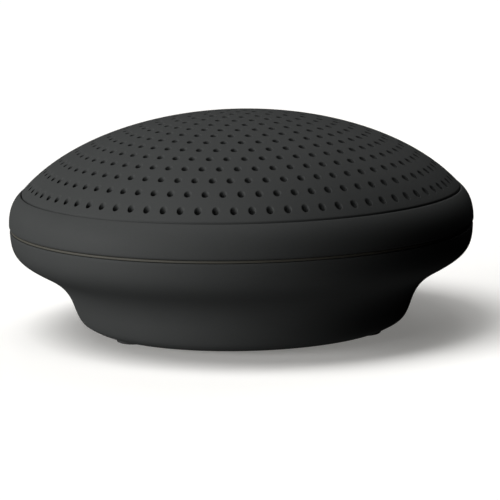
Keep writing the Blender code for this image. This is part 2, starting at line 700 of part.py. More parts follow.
def make_driver_basket(finish):
    throat = DRIVER_OPENING - THROAT_STEP
    floor = BASKET_BOTTOM + SHEET
    coil_hole = COIL_RADIUS + COIL_WALL + CONE_LAP
    profile = [
        (DRIVER_RADIUS, FLANGE_TOP),
        (DRIVER_RADIUS, FLANGE_Z),
        (throat + PAPER, FLANGE_Z),
        (throat, FLANGE_Z - SHEET),
        (BASKET_FOOT_RADIUS, floor),
        (BASKET_FOOT_RADIUS, BASKET_BOTTOM),
        (coil_hole, BASKET_BOTTOM),
        (coil_hole, floor),
        (BASKET_FOOT_RADIUS - SHEET, floor),
        (throat - SHEET, FLANGE_Z - 2 * PAPER),
        (DRIVER_OPENING, FLANGE_Z + PAPER),
        (DRIVER_OPENING, FLANGE_TOP),
    ]
    basket = turned("driver_basket", profile, finish["black_steel"], MEDIUM)
    lug = block("terminal_lug", (*LUG, SHEET), (LUG_X, 0, LUG_Z), None)
    join(basket, lug)
    cut_driver_holes(basket, "flange")


def make_terminal_strip(finish):
    height = LUG_Z + SHEET / 2 + CLEARANCE + STRIP.z / 2
    block("terminal_strip", STRIP, (STRIP_X, 0, height), finish["nylon"])


def make_surround(finish):
    """Rubber half-roll between the cone's edge and the flange."""
    inner = CONE_RADIUS + 2 * CLEARANCE
    outer = DRIVER_OPENING + 2 * GLUE_LINE
    middle = (inner + outer) / 2
    half = (outer - inner) / 2
    turns = [math.pi * i / 4 for i in range(5)]
    over = [
        (middle + (half + PAPER) * math.cos(a), LIP_Z + PAPER + ROLL_HEIGHT * math.sin(a))
        for a in turns
    ]
    under = [(middle + half * math.cos(a), LIP_Z + ROLL_HEIGHT * math.sin(a)) for a in turns]
    edge = outer + SURROUND_LIP
    lip = inner - CONE_LAP
    profile = [(edge, LIP_Z + PAPER), (edge, LIP_Z)]
    profile += under
    profile += [(lip, LIP_Z), (lip, LIP_Z + PAPER)]
    profile += over[::-1]
    turned("surround", profile, finish["rubber"], MEDIUM)


def make_cone(finish):
    neck = COIL_RADIUS + COIL_WALL + 2 * GLUE_LINE
    middle = ((CONE_RADIUS + neck) / 2, (CONE_TOP + CONE_BOTTOM) / 2 - CONE_BELLY)
    profile = [
        (CONE_RADIUS, CONE_TOP),
        (CONE_RADIUS, CONE_TOP - PAPER),
        (middle[0], middle[1] - PAPER),
        (neck, CONE_BOTTOM),
        (neck - PAPER, CONE_BOTTOM),
        (neck - PAPER, CONE_BOTTOM + PAPER),
        (middle[0] - PAPER, middle[1] + PAPER),
        (CONE_RADIUS - 2.5 * PAPER, CONE_TOP),
    ]
    turned("cone", profile, finish["paper"], MEDIUM)


def make_dust_cap(finish):
    base = CONE_BOTTOM + CAP_LIFT
    turns = [math.pi / 2 * i / 3 for i in range(4)]

    def half_ellipse(radius, height):
        return [(radius * math.sin(a), base + height * math.cos(a)) for a in turns]

    radius = COIL_RADIUS + CAP_LAP
    outer = half_ellipse(radius, CAP_HEIGHT)
    inner = half_ellipse(radius - PAPER, CAP_HEIGHT - PAPER)
    turned("dust_cap", outer + inner[::-1], finish["paper"], SMALL)


def make_voice_coil(finish):
    outer = COIL_RADIUS + COIL_WALL
    bottom = COIL_TOP - COIL_LENGTH
    inner = COIL_RADIUS
    profile = [(outer, COIL_TOP), (outer, bottom), (inner, bottom), (inner, COIL_TOP)]
    turned("voice_coil", profile, finish["copper"], MEDIUM)


def make_spider(finish):
    """Corrugated cloth ring that keeps the coil in the middle."""
    inner = COIL_RADIUS + COIL_WALL + CLEARANCE
    outer = BASKET_FOOT_RADIUS - SHEET - CLEARANCE
    radii = [outer + (inner - outer) * i / WAVES for i in range(WAVES + 1)]
    wave = [SPIDER_Z + WAVE_HEIGHT * (i % 2) for i in range(WAVES + 1)]
    under = [(r, z) for r, z in zip(radii, wave)]
    over = [(r, z + PAPER) for r, z in zip(radii, wave)]
    turned("spider", under + over[::-1], finish["spider_cloth"], MEDIUM)


def make_motor(finish):
    """The ring magnet between its two steel plates, and the pole inside the coil."""
    gap_radius = COIL_RADIUS + COIL_WALL + CLEARANCE
    plate_top = TOP_PLATE_Z + POLE_PLATE
    outer = MAGNET_RADIUS - THROAT_STEP
    plate = [
        (outer, plate_top),
        (outer, TOP_PLATE_Z),
        (gap_radius, TOP_PLATE_Z),
        (gap_radius, plate_top),
    ]
    turned("top_plate", plate, finish["steel"], MEDIUM)
    magnet_top = MAGNET_Z + MAGNET_HEIGHT
    ring = [
        (MAGNET_RADIUS, magnet_top),
        (MAGNET_RADIUS, MAGNET_Z),
        (MAGNET_HOLE, MAGNET_Z),
        (MAGNET_HOLE, magnet_top),
    ]
    turned("magnet", ring, finish["ferrite"], MEDIUM)
    pole = COIL_RADIUS - CLEARANCE
    yoke_top = YOKE_Z + POLE_PLATE
    yoke = [
        (0, plate_top),
        (pole, plate_top),
        (pole, yoke_top),
        (outer, yoke_top),
        (outer, YOKE_Z),
        (0, YOKE_Z),
    ]
    turned("yoke", yoke, finish["steel"], MEDIUM)


def make_driver_screws(finish):
    head_z = FLANGE_TOP + CLEARANCE
    length = FLANGE_TOP - BAFFLE_BOTTOM
    upright = screw_profile(SMALL_HEAD_RADIUS, SMALL_HEAD, SMALL_SCREW_RADIUS, length)
    profile = [(radius, head_z + SMALL_HEAD - height) for radius, height in upright][::-1]
    for number, degrees in enumerate((45, 135, 225, 315), 1):
        at = on_circle(DRIVER_SCREW_CIRCLE, degrees)
        turned(f"driver_screw_{number}", profile, finish["steel"], TINY, at)


# ---------------------------------------------------------------- electronics


def make_main_board(finish):
    start = (0, 0, BOARD_TOP - BOARD)
    board = rod("main_board", BOARD_RADIUS, start, BOARD, finish["circuit_board"], sides=2 * MEDIUM)
    middle = rod("board_hole", BOARD_HOLE, (0, 0, 0), 2 * BOARD_TOP, None, sides=MEDIUM)
    front = block(
        "board_front",
        (3 * BOARD_RADIUS, 2 * BOARD_RADIUS, 4 * BOARD),
        (0, BOARD_FRONT - BOARD_RADIUS, BOARD_TOP),
        None,
    )
    post = rod("board_post_hole", BOSS_RADIUS, on_circle(FOOT_CIRCLE, 90), 2 * BOARD_TOP, None)
    cut(board, middle, front, post)
    for number, side in enumerate((-1, 1), 1):
        at = (side * BOARD_SCREW_X, BOARD_SCREW_Y, 0)
        radius = SMALL_SCREW_RADIUS + CLEARANCE
        cut(board, rod(f"board_screw_hole_{number}", radius, at, 2 * BOARD_TOP, None, sides=TINY))
        head = BOARD_TOP + CLEARANCE + SMALL_HEAD
        upright = screw_profile(
            SMALL_HEAD_RADIUS, SMALL_HEAD, SMALL_SCREW_RADIUS, SMALL_SCREW_LENGTH
        )
        profile = [(radius, head - height) for radius, height in upright][::-1]
        turned(f"board_screw_{number}", profile, finish["steel"], TINY, at)


def on_board(name, size, x, y, finish, rounding=0.0):
    """A component that stands on the board's top."""
    return block(name, size, (x, y, ON_BOARD + size[2] / 2), finish, rounding)


def make_components(finish):
    module = (0.0120, 0.0090, 0.0022)
    on_board("bluetooth_module", module, -0.0230, 0.0195, finish["steel"], 0.0004)
    on_board("amplifier_chip", (0.0060, 0.0060, 0.0012), 0.0240, 0.0195, finish["chip"])
    on_board("battery_plug", (0.0050, 0.0050, PLUG), 0.0300, 0.0140, finish["nylon"])
    on_board("speaker_plug", (0.0050, 0.0045, PLUG), -0.0310, 0.0115, finish["nylon"])
    for number, (x, y) in enumerate(((0.0140, 0.0270), (0.0205, 0.0280)), 1):
        profile = [
            (0, 0.0070),
            (0.0021, 0.0070),
            (0.0025, 0.0066),
            (0.0025, 0),
            (0, 0),
        ]
        turned(f"capacitor_{number}", profile, finish["capacitor_sleeve"], SMALL, (x, y, ON_BOARD))


def make_battery(finish):
    size = BATTERY
    tape_z = FLOOR_TOP + GLUE_LINE
    cell_z = tape_z + TAPE + GLUE_LINE
    tape = (size.x - 2 * TAPE_MARGIN, size.y - 2 * TAPE_MARGIN, TAPE)
    block("battery_tape", tape, (0, BATTERY_Y, tape_z + TAPE / 2), finish["foam_tape"])
    centre = (0, BATTERY_Y, cell_z + size.z / 2)
    block("battery_cell", size, centre, finish["cell_wrap"], size.z / 3, "Y")


def smooth_route(points, spacing):
    """Evenly dense points of a Catmull-Rom curve through the route's own points."""
    route = [Vector(p) for p in points]
    ends = [2 * route[0] - route[1]] + route + [2 * route[-1] - route[-2]]
    found = [route[0]]
    for before, start, end, after in zip(ends, ends[1:], ends[2:], ends[3:]):
        count = max(2, round((end - start).length / spacing) + 1)
        leave = start + (end - before) / 6
        arrive = end - (after - start) / 6
        found += interpolate_bezier(start, leave, arrive, end, count)[1:]
    return found


def lead(name, points, finish):
    """An insulated wire along a route."""
    curve = bpy.data.curves.new(name, "CURVE")
    curve.dimensions = "3D"
    curve.bevel_depth = WIRE_RADIUS
    curve.bevel_resolution = 2
    curve.use_fill_caps = True
    route = smooth_route(points, 5 * WIRE_RADIUS)
    spline = curve.splines.new("POLY")
    spline.points.add(len(route) - 1)
    for point, place in zip(spline.points, route):
        point.co = (*place, 1)
    put(bpy.data.objects.new(name, curve), finish)


def make_leads(finish):
    plug_top = ON_BOARD + PLUG + CLEARANCE
    strip_z = FLANGE_Z - 0.0050
    for colour, shift in (("red", 0.0012), ("black", -0.0012)):
        speaker_route = [
            (-0.0223, shift, strip_z),
            (-0.0250, 0.0020 + shift, strip_z + 0.0004),
            (-0.0290, 0.0070 + shift, strip_z),
            (-0.0310, 0.0105 + shift, (strip_z + plug_top) / 2 + 0.0012),
            (-0.0310, 0.0115 + shift, plug_top),
        ]
        lead(f"speaker_lead_{colour}", speaker_route, finish[f"wire_{colour}"])
        cell_z = FLOOR_TOP + TAPE + BATTERY.z / 2 + shift
        battery_route = [
            (BATTERY.x / 2 + CLEARANCE, -0.0060 + shift, cell_z),
            (BATTERY.x / 2 + 0.0030, -0.0056 + shift, cell_z + 0.0015),
            (0.0262, -0.0056 + shift, BOARD_TOP - 0.0050),
            (0.0285, -0.0054 + shift, BOARD_TOP),
            (0.0300 + shift, -0.0015, plug_top + 0.0005),
            (0.0300 + shift, 0.0070, plug_top + 0.0030),
            (0.0300 + shift, 0.0126, plug_top + 0.0022),
            (0.0300 + shift, 0.0140, plug_top),
        ]
        lead(f"battery_lead_{colour}", battery_route, finish[f"wire_{colour}"])


# ---------------------------------------------------------------- controls and sockets


def button_places():
    """Each button's name and its place across the bay."""
    return (("minus", MINUS_X), ("play", PLAY_X), ("plus", PLUS_X))


def behind_bay(name, size, x, front_y, finish):
    """A component on the board with its front at a place behind the bay's wall."""
    corner_x = abs(x) + size[0] / 2
    front_y = min(front_y, room(corner_x, ON_BOARD + size[2], size[2]))
    return on_board(name, size, x, front_y - size[1] / 2, finish)


def make_control_fascia(finish):
    size = (BAY_WIDTH - 2 * CLEARANCE, FASCIA, BAY_HEIGHT - 2 * CLEARANCE)
    centre = (0, FASCIA_Y - FASCIA / 2, BAY_Z)
    corner = BAY_CORNER - CLEARANCE
    fascia = block("control_fascia", size, centre, finish["gloss_panel"], corner, "Y")
    cut(fascia, *bay_openings("fascia", FASCIA_Y - 3 * FASCIA, 5 * FASCIA))


def make_buttons(finish):
    """Each button is a cap with a collar behind the wall and a stem that enters its switch."""
    switch_front = COLLAR_BACK_Y - BUTTON_TRAVEL - CLEARANCE
    stem_length = BUTTON_TRAVEL + CLEARANCE + STEM_GRIP
    for name, x in button_places():
        stem_start = COLLAR_BACK_Y - stem_length
        cap_start = COLLAR_BACK_Y + COLLAR / 2
        cap_length = FASCIA_Y + BUTTON_PROUD - cap_start
        at = (x, cap_start, BAY_Z)
        button = rod(f"button_{name}", BUTTON_RADIUS, at, cap_length, finish["soft_touch"], "Y")
        collar_radius = BUTTON_RADIUS + COLLAR_MARGIN
        collar = rod(f"collar_{name}", collar_radius, (x, COLLAR_BACK_Y, BAY_Z), COLLAR, None, "Y")
        reach = stem_length + COLLAR / 2
        stem = rod(f"stem_{name}", BUTTON_STEM, (x, stem_start, BAY_Z), reach, None, "Y", TINY)
        join(button, collar, stem)
        size = (SWITCH_WIDTH, 0.0032, STAND + 0.0017)
        switch = behind_bay(f"tact_switch_{name}", size, x, switch_front, finish["chip"])
        at = (x, stem_start - BUTTON_TRAVEL - CLEARANCE, BAY_Z)
        hole = BUTTON_STEM + CLEARANCE
        cut(switch, rod(f"switch_hole_{name}", hole, at, 2 * size[1], None, "Y", 12))


def make_power_slider(finish):
    """A knob with a collar behind the wall and a stem in the switch's slot, at the off end."""
    knob_x = SLIDER_X + SLIDER_TRAVEL / 2
    knob_start = COLLAR_BACK_Y + COLLAR / 2
    length = FASCIA_Y + BUTTON_PROUD - knob_start
    middle = (knob_x, knob_start + length / 2, BAY_Z)
    knob = (SLIDER_WIDTH, length, SLIDER_HEIGHT)
    slider = block("power_slider", knob, middle, finish["soft_touch"])
    collar_size = (SLIDER_WIDTH + SLIDER_COLLAR, COLLAR, SLIDER_HEIGHT + SLIDER_COLLAR)
    collar_middle = (knob_x, COLLAR_BACK_Y + COLLAR / 2, BAY_Z)
    collar = block("slider_collar", collar_size, collar_middle, None)
    stem_size = (SLIDER_STEM, 2 * SLIDER_STEM_LENGTH, SLIDER_STEM)
    stem = block("slider_stem", stem_size, (knob_x, COLLAR_BACK_Y, BAY_Z), None)
    join(slider, collar, stem)
    front = COLLAR_BACK_Y - CLEARANCE
    size = (*SLIDE_SWITCH, STAND + 0.0017)
    switch = behind_bay("slide_switch", size, SLIDER_X, front, finish["steel"])
    slot = (
        SLIDER_STEM + SLIDER_TRAVEL + 2 * CLEARANCE,
        2 * (SLIDER_STEM_LENGTH + CLEARANCE),
        SLIDER_STEM + 2 * CLEARANCE,
    )
    cut(switch, block("switch_slot", slot, (SLIDER_X, COLLAR_BACK_Y, BAY_Z), None))


def make_sockets(finish):
    """The charging socket, the audio jack, the light and the microphone."""
    body_front = BAY_BACK_Y - CLEARANCE
    nose = FASCIA_Y - body_front + CLEARANCE
    usb_body = (USB_WIDTH, USB_BODY, STAND + USB_HEIGHT / 2 + GLUE_LINE)
    usb = behind_bay("usb_socket", usb_body, USB_X, body_front, finish["steel"])
    nose_y = FASCIA_Y - nose / 2
    join(usb, block("usb_nose", (USB_WIDTH, nose, USB_HEIGHT), (USB_X, nose_y, BAY_Z), None))
    mouth = (USB_WIDTH - 2 * USB_SHELL, 2 * USB_DEPTH, USB_HEIGHT - 2 * USB_SHELL)
    cut(usb, block("usb_mouth", mouth, (USB_X, FASCIA_Y, BAY_Z), None))
    tongue = (USB_WIDTH - 5 * USB_TONGUE, USB_DEPTH, USB_TONGUE)
    tongue_y = FASCIA_Y - USB_TONGUE - USB_DEPTH / 2
    join(usb, block("usb_tongue", tongue, (USB_X, tongue_y, BAY_Z), None))

    width = 2 * (JACK_BORE + JACK_SIDE)
    bottom, top = BAY_Z - JACK_BORE - JACK_BELOW, BAY_Z + JACK_BORE + JACK_ABOVE
    corner_x = abs(JACK_X) + width / 2
    front = min(body_front - JACK_GAP, room(corner_x, top, top - bottom))
    centre = (JACK_X, front - JACK_LENGTH / 2, (bottom + top) / 2)
    jack = block("audio_jack", (width, JACK_LENGTH, top - bottom), centre, finish["chip"])
    bore_start = front + JACK_WALL_BACK - JACK_LENGTH
    bore_length = 2 * JACK_LENGTH
    cut(jack, rod("jack_bore", JACK_BORE, (JACK_X, bore_start, BAY_Z), bore_length, None, "Y"))

    start = Vector((LED_X, BAY_BACK_Y - PIPE_BEHIND, BAY_Z))
    length = FASCIA_Y - start.y
    rod("light_pipe", LIGHT_PIPE_RADIUS, start, length, finish["clear"], "Y", 12)
    led = (0.0018, 0.0016, STAND + 0.0008)
    behind_bay("status_led", led, LED_X, start.y - CLEARANCE, finish["clear"])
    microphone = (0.0017, 0.0022, STAND + 0.0009)
    behind_bay("microphone", microphone, MIC_X, BAY_BACK_Y - BUTTON_GAP, finish["steel"])


def main():
    fresh_scene()
    finish = make_finishes()
    make_grille_dome(finish)
    make_grille_cloth(finish)
    make_upper_shell(finish)
    make_seam_gasket(finish)
    make_lower_shell(finish)
    make_feet(finish)
    make_case_screws(finish)
    make_baffle_plate(finish)
    make_ring_screws(finish)
    make_driver_gasket(finish)
    make_driver_basket(finish)
    make_terminal_strip(finish)
    make_surround(finish)
    make_cone(finish)
    make_dust_cap(finish)
    make_voice_coil(finish)
    make_spider(finish)
    make_motor(finish)
    make_driver_screws(finish)
    make_main_board(finish)
    make_components(finish)
    make_battery(finish)
    make_leads(finish)
    make_control_fascia(finish)
    make_buttons(finish)
    make_power_slider(finish)
    make_sockets(finish)


main()
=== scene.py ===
"""Portable round speaker: its finished look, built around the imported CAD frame.

Laid out as an add-on, with one operator for each piece or group of like pieces, and run as a script.
Metres, +Z up, the front towards -Y, the table at Z 0. Each piece rides on a body of the frame.
"""

import math

import bmesh
import bpy
from bpy.props import FloatProperty, FloatVectorProperty, IntProperty, PointerProperty
from mathutils import Matrix, Vector
from mathutils.geometry import interpolate_bezier


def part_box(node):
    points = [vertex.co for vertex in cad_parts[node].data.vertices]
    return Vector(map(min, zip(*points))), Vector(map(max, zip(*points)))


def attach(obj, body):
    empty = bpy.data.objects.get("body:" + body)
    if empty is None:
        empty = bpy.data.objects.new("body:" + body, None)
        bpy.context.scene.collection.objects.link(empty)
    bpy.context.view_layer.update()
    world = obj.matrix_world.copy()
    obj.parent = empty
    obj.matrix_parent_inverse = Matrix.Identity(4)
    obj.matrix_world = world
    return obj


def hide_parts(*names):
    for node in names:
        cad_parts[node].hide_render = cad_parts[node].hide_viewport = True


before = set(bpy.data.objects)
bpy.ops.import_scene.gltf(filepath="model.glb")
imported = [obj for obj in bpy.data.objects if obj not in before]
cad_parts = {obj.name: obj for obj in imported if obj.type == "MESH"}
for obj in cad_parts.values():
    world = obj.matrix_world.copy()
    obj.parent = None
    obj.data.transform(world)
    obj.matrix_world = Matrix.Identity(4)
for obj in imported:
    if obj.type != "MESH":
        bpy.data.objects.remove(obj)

bl_info = {
    "name": "Portable round speaker",
    "version": (1, 0, 0),
    "blender": (4, 5, 0),
    "location": "3D View > Sidebar > Speaker",
    "description": "Builds the finished look of a small round speaker around its CAD frame",
    "category": "Object",
}

MM = 0.001
HOUSING = "housing"

# Where the frame's pieces lie
DOME_LOW, DOME_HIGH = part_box("grille_dome")
UPPER_LOW, UPPER_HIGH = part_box("upper_shell")
LOWER_LOW, LOWER_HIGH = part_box("lower_shell")
GASKET_LOW, GASKET_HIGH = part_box("seam_gasket")
FASCIA_LOW, FASCIA_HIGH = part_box("control_fascia")
SURROUND_LOW, SURROUND_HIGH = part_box("surround")
CLOTH_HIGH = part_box("grille_cloth")[1]
CONE_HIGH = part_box("cone")[1]

# The gap behind the panel, under the seam band and over the feet, and how near points are merged
BED_GAP = 0.1 * MM
WELD, JOIN = 1e-7, 1e-6

# Levels and radii that several pieces share
RIM_RADIUS = UPPER_HIGH.x
CAP_RADIUS = DOME_HIGH.x
BASE_Z = LOWER_LOW.z
SEAM_TOP = UPPER_LOW.z
SEAM_BOTTOM = GASKET_LOW.z - BED_GAP
RING_BORE = CAP_RADIUS + 0.21 * MM
LEDGE_RADIUS = RIM_RADIUS - 2.5 * MM
TONGUE_OUTER, TONGUE_INNER = RIM_RADIUS - 2.8 * MM, RIM_RADIUS - 4.2 * MM

# The bay at the back: its wall, and the collars that keep buttons and slider in it
BAY_Z = (FASCIA_LOW.z + FASCIA_HIGH.z) / 2
BAY_FACE_Y = FASCIA_LOW.y - BED_GAP
BAY_WALL = 1.5 * MM
BAY_BACK_Y = BAY_FACE_Y - BAY_WALL
BAY_CLEARANCE = 0.6 * MM
BAY_WIDTH = FASCIA_HIGH.x - FASCIA_LOW.x + BAY_CLEARANCE
BAY_HEIGHT = FASCIA_HIGH.z - FASCIA_LOW.z + BAY_CLEARANCE
BAY_REACH = 50 * MM
COLLAR_Y = BAY_BACK_Y - 0.3 * MM
COLLAR_THICKNESS = 0.8 * MM

# What shows in the bay
BUTTON_KINDS = ("minus", "play", "plus")
BUTTON_OPENING, BUTTON_CAP, BUTTON_STEM = 1.9 * MM, 1.6 * MM, 0.6 * MM
SLIDER_WIDTH, SLIDER_HEIGHT, SLIDER_STEM = 2.2 * MM, 1.6 * MM, 1.2 * MM
SLIDER_SLOT, SLIDER_SLOT_HEIGHT = 5.3 * MM, 2.2 * MM
CHARGING_OPENING, CHARGING_OPENING_HEIGHT = 8.2 * MM, 3.5 * MM
CHARGING_WIDTH, CHARGING_HEIGHT, CHARGING_SHEET = 7.6 * MM, 2.9 * MM, 0.35 * MM
CONTACTS, CONTACT_PITCH = 5, 0.8 * MM
AUDIO_OPENING, AUDIO_BORE = 2.05 * MM, 1.75 * MM
LIGHT_OPENING, MICROPHONE_OPENING = 0.85 * MM, 0.5 * MM

FEET = (1, 2, 3)
FOOT_CLEARANCE, FOOT_EDGE = 0.3 * MM, 0.45 * MM

# Steps of a full turn
RING_STEPS, BOWL_STEPS, INNER_STEPS, FOOT_STEPS, BUTTON_STEPS = 256, 240, 96, 64, 48


# ---------------------------------------------------------------- what a user would change


def length(name, description, default):
    return FloatProperty(name=name, description=description, default=default, unit="LENGTH", precision=5)


def colour(name, description, default):
    return FloatVectorProperty(
        name=name, description=description, default=default, subtype="COLOR", size=3, min=0.0, max=1.0
    )


class GrilleSizes(bpy.types.PropertyGroup):
    """Sizes of the perforated dome and the cloth behind it."""

    pitch: length("Hole pitch", "Distance between rings of holes, and between holes along a ring", 3.5 * MM)
    hole: length("Hole diameter", "Diameter of each hole", 1.5 * MM)
    rings: IntProperty(name="Rings", description="Rings of holes round the middle one", default=13, min=1)
    sides: IntProperty(
        name="Hole sides", description="Sides of each hole, a multiple of four", default=12, min=8
    )
    lip: length("Hole lip", "Width of the softened edge of each hole", 0.07 * MM)
    wall: length("Wall", "Thickness of the dome", 1.6 * MM)
    half_width: length("Ellipse half width", "Half width of the ellipse that the dome is part of", 53.3 * MM)
    half_depth: length("Ellipse half height", "Half height of that ellipse", 30.2 * MM)


class HousingSizes(bpy.types.PropertyGroup):
    """Sizes of the two shells and what lies between them."""

    crease: length("Crease", "Gap between the dome and the ring round it", 0.05 * MM)
    bulge: length("Bulge", "How much fuller the halves are than the frame's at their widest", 0.45 * MM)
    edge: length("Ring edge", "Rounding of the ring's edge at the crease", 0.45 * MM)
    wall: length("Wall", "Thickness of the shells", 2.0 * MM)
    bowl_inset: length("Bowl inset", "Widest radius to the turn under the bowl", 5.8 * MM)
    bowl_height: length("Bowl height", "Underside to the turn under the bowl", 12.9 * MM)
    waist_inset: length("Waist inset", "Widest radius to the waist", 13.1 * MM)
    waist_height: length("Waist height", "Underside to the waist", 5.0 * MM)
    base_inset: length("Base inset", "Widest radius to the edge of the pedestal", 16.8 * MM)


class Finishes(bpy.types.PropertyGroup):
    """Colours of the finishes that show."""

    soft_touch: colour("Soft-touch coating", "Rubbery coating of the housing", (0.0365, 0.038, 0.0375))
    seam: colour("Seam gasket", "Elastomer band between the halves", (0.052, 0.049, 0.039))
    rubber: colour("Feet", "Rubber of the feet", (0.022, 0.022, 0.022))
    panel: colour("Control panel", "Glossy panel round the controls", (0.012, 0.012, 0.013))
    print_ink: colour("Printed marks", "Ink of the marks on the buttons", (0.420, 0.430, 0.430))
    floor: colour("Floor", "The pale surface that the speaker stands on", (0.93, 0.922, 0.905))


class SpeakerSettings(bpy.types.PropertyGroup):
    """All the settings of the speaker."""

    grille: PointerProperty(type=GrilleSizes)
    housing: PointerProperty(type=HousingSizes)
    finishes: PointerProperty(type=Finishes)


# ---------------------------------------------------------------- finishes


WAVE_RADIANS = 20  # how far a wave texture turns over one metre, at scale 1


class NodeTree:
    """A material whose nodes are added one call at a time."""

    def __init__(self, name):
        self.material = bpy.data.materials.new(name)
        self.material.use_nodes = True
        self.tree = self.material.node_tree
        self.shader = self.tree.nodes["Principled BSDF"]
        self.where = self.tree.nodes.new("ShaderNodeTexCoord").outputs["Object"]

    def link(self, output, socket):
        self.tree.links.new(output, socket)

    def node(self, kind, values=None, **settings):
        made = self.tree.nodes.new(kind)
        for key, value in settings.items():
            setattr(made, key, value)
        for key, value in (values or {}).items():
            made.inputs[key].default_value = value
        return made

    def mapped(self, scale=(1, 1, 1), rotation=(0, 0, 0)):
        mapping = self.node("ShaderNodeMapping", {"Scale": scale, "Rotation": rotation})
        self.link(self.where, mapping.inputs["Vector"])
        return mapping.outputs["Vector"]

    def noise(self, scale, detail=3.0, roughness=0.55, stretch=(1, 1, 1)):
        made = self.node("ShaderNodeTexNoise", {"Scale": scale, "Detail": detail, "Roughness": roughness})
        self.link(self.mapped(stretch), made.inputs["Vector"])
        return made.outputs["Fac"]

    def cells(self, scale):
        made = self.node("ShaderNodeTexVoronoi", {"Scale": scale})
        self.link(self.mapped(), made.inputs["Vector"])
        return made.outputs["Distance"]

    def bands(self, radian, direction):
        """Stripes across a direction, from the length over which they turn by one radian."""
        scale = 1 / radian / WAVE_RADIANS
        made = self.node("ShaderNodeTexWave", {"Scale": scale}, bands_direction=direction)
        self.link(self.mapped(), made.inputs["Vector"])
        return made.outputs["Fac"]

    def spread(self, value, low, high, start=0.25, end=0.75):
        """Maps a pattern's value to the range low to high."""
        values = {"From Min": start, "From Max": end, "To Min": low, "To Max": high}
        made = self.node("ShaderNodeMapRange", values)
        self.link(value, made.inputs["Value"])
        return made.outputs["Result"]

    def combine(self, first, second, operation="MULTIPLY"):
        made = self.node("ShaderNodeMath", operation=operation)
        self.link(first, made.inputs[0])
        self.link(second, made.inputs[1])
        return made.outputs[0]

    def between(self, factor, dark, light):
        made = self.node("ShaderNodeMix", data_type="RGBA")
        made.inputs["A"].default_value = (*dark, 1)
        made.inputs["B"].default_value = (*light, 1)
        self.link(factor, made.inputs["Factor"])
        self.link(made.outputs["Result"], self.shader.inputs["Base Color"])

    def rough(self, value, low, high):
        self.link(self.spread(value, low, high), self.shader.inputs["Roughness"])

    def bump(self, height, distance, strength=1.0):
        made = self.node("ShaderNodeBump", {"Distance": distance, "Strength": strength})
        self.link(height, made.inputs["Height"])
        self.link(made.outputs["Normal"], self.shader.inputs["Normal"])

    def constant(self, **values):
        for key, value in values.items():
            self.shader.inputs[key.replace("_", " ")].default_value = value
        return self.material


def shades(base, by):
    """A darker and a lighter shade of a colour."""
    return tuple(c * (1 - by) for c in base), tuple(min(c * (1 + by), 1) for c in base)


def soft_touch_finish():
    """Matte rubbery coating: a fine orange-peel grain, patches a little smoother from handling."""
    nodes = NodeTree("soft_touch_coating")
    grain = nodes.noise(2600, detail=4, roughness=0.6)
    handling = nodes.noise(70, detail=3)
    speck = nodes.cells(5200)
    shade = nodes.spread(nodes.combine(grain, handling, "ADD"), 0, 1, 0.7, 1.3)
    nodes.between(shade, *shades(settings().finishes.soft_touch, 0.05))
    nodes.rough(handling, 0.56, 0.66)
    nodes.bump(nodes.combine(grain, speck, "ADD"), 0.014 * MM, 0.5)
    return nodes.constant(Specular_IOR_Level=0.08, IOR=1.45)


def moulded_finish(name, base, roughness, grain_size=900, variation=0.10, depth=0.01):
    """Moulded plastic or rubber: fine grain, faint flow marks."""
    nodes = NodeTree(name)
    grain = nodes.noise(grain_size, detail=4)
    flow = nodes.noise(90, detail=2, stretch=(1, 1, 3))
    nodes.between(nodes.combine(grain, flow), *shades(base, variation))
    nodes.rough(grain, roughness - 0.05, roughness + 0.05)
    nodes.bump(grain, depth * MM, 0.5)
    return nodes


def seam_finish():
    """Elastomer band, a little dusty along its length."""
    nodes = moulded_finish("seam_elastomer", settings().finishes.seam, 0.68, 1500, 0.12)
    return nodes.constant(Specular_IOR_Level=0.3)


def foot_finish():
    """Dull rubber, rougher than the housing."""
    nodes = moulded_finish("foot_rubber", settings().finishes.rubber, 0.82, 1800, 0.15, 0.02)
    return nodes.constant(Specular_IOR_Level=0.25)


def metal_finish(name, base, roughness, brushed=(1, 1, 1), depth=0.004):
    """Pressed or machined metal with fine scratches along one direction."""
    nodes = NodeTree(name)
    scratch = nodes.noise(1500, detail=5, stretch=brushed)
    stain = nodes.noise(140, detail=2)
    nodes.between(nodes.combine(scratch, stain, "ADD"), *shades(base, 0.08))
    nodes.rough(stain, roughness - 0.06, roughness + 0.10)
    nodes.bump(scratch, depth * MM, 0.4)
    return nodes.constant(Metallic=1.0)


def woven_finish(name, base, thread, roughness=0.92, depth=0.08):
    """Plain weave: threads along X and Y, and about six times the given length from one to the next. Painted
    shade darkens the gaps between threads.
    """
    nodes = NodeTree(name)
    along = nodes.bands(thread, "X")
    across = nodes.bands(thread, "Y")
    weave = nodes.combine(along, across)
    fuzz = nodes.noise(6000, detail=2)
    # painted shade darkens the gaps between threads, so the crossings read lighter
    nodes.between(weave, *shades(base, 0.45))
    nodes.rough(fuzz, roughness - 0.06, roughness + 0.05)
    nodes.bump(nodes.combine(weave, fuzz, "ADD"), depth * MM, 0.6)
    return nodes.constant(Sheen_Weight=0.15, Specular_IOR_Level=0.2)


def paper_finish():
    """Pressed pulp of the cone: matted fibres."""
    nodes = NodeTree("cone_pulp")
    fibre = nodes.noise(900, detail=6, roughness=0.7, stretch=(1, 2.5, 1))
    clump = nodes.noise(160)
    nodes.between(nodes.combine(fibre, clump, "ADD"), (0.022, 0.021, 0.020), (0.060, 0.058, 0.054))
    nodes.rough(fibre, 0.82, 0.96)
    nodes.bump(fibre, 0.04 * MM, 0.6)
    return nodes.constant(Specular_IOR_Level=0.2)


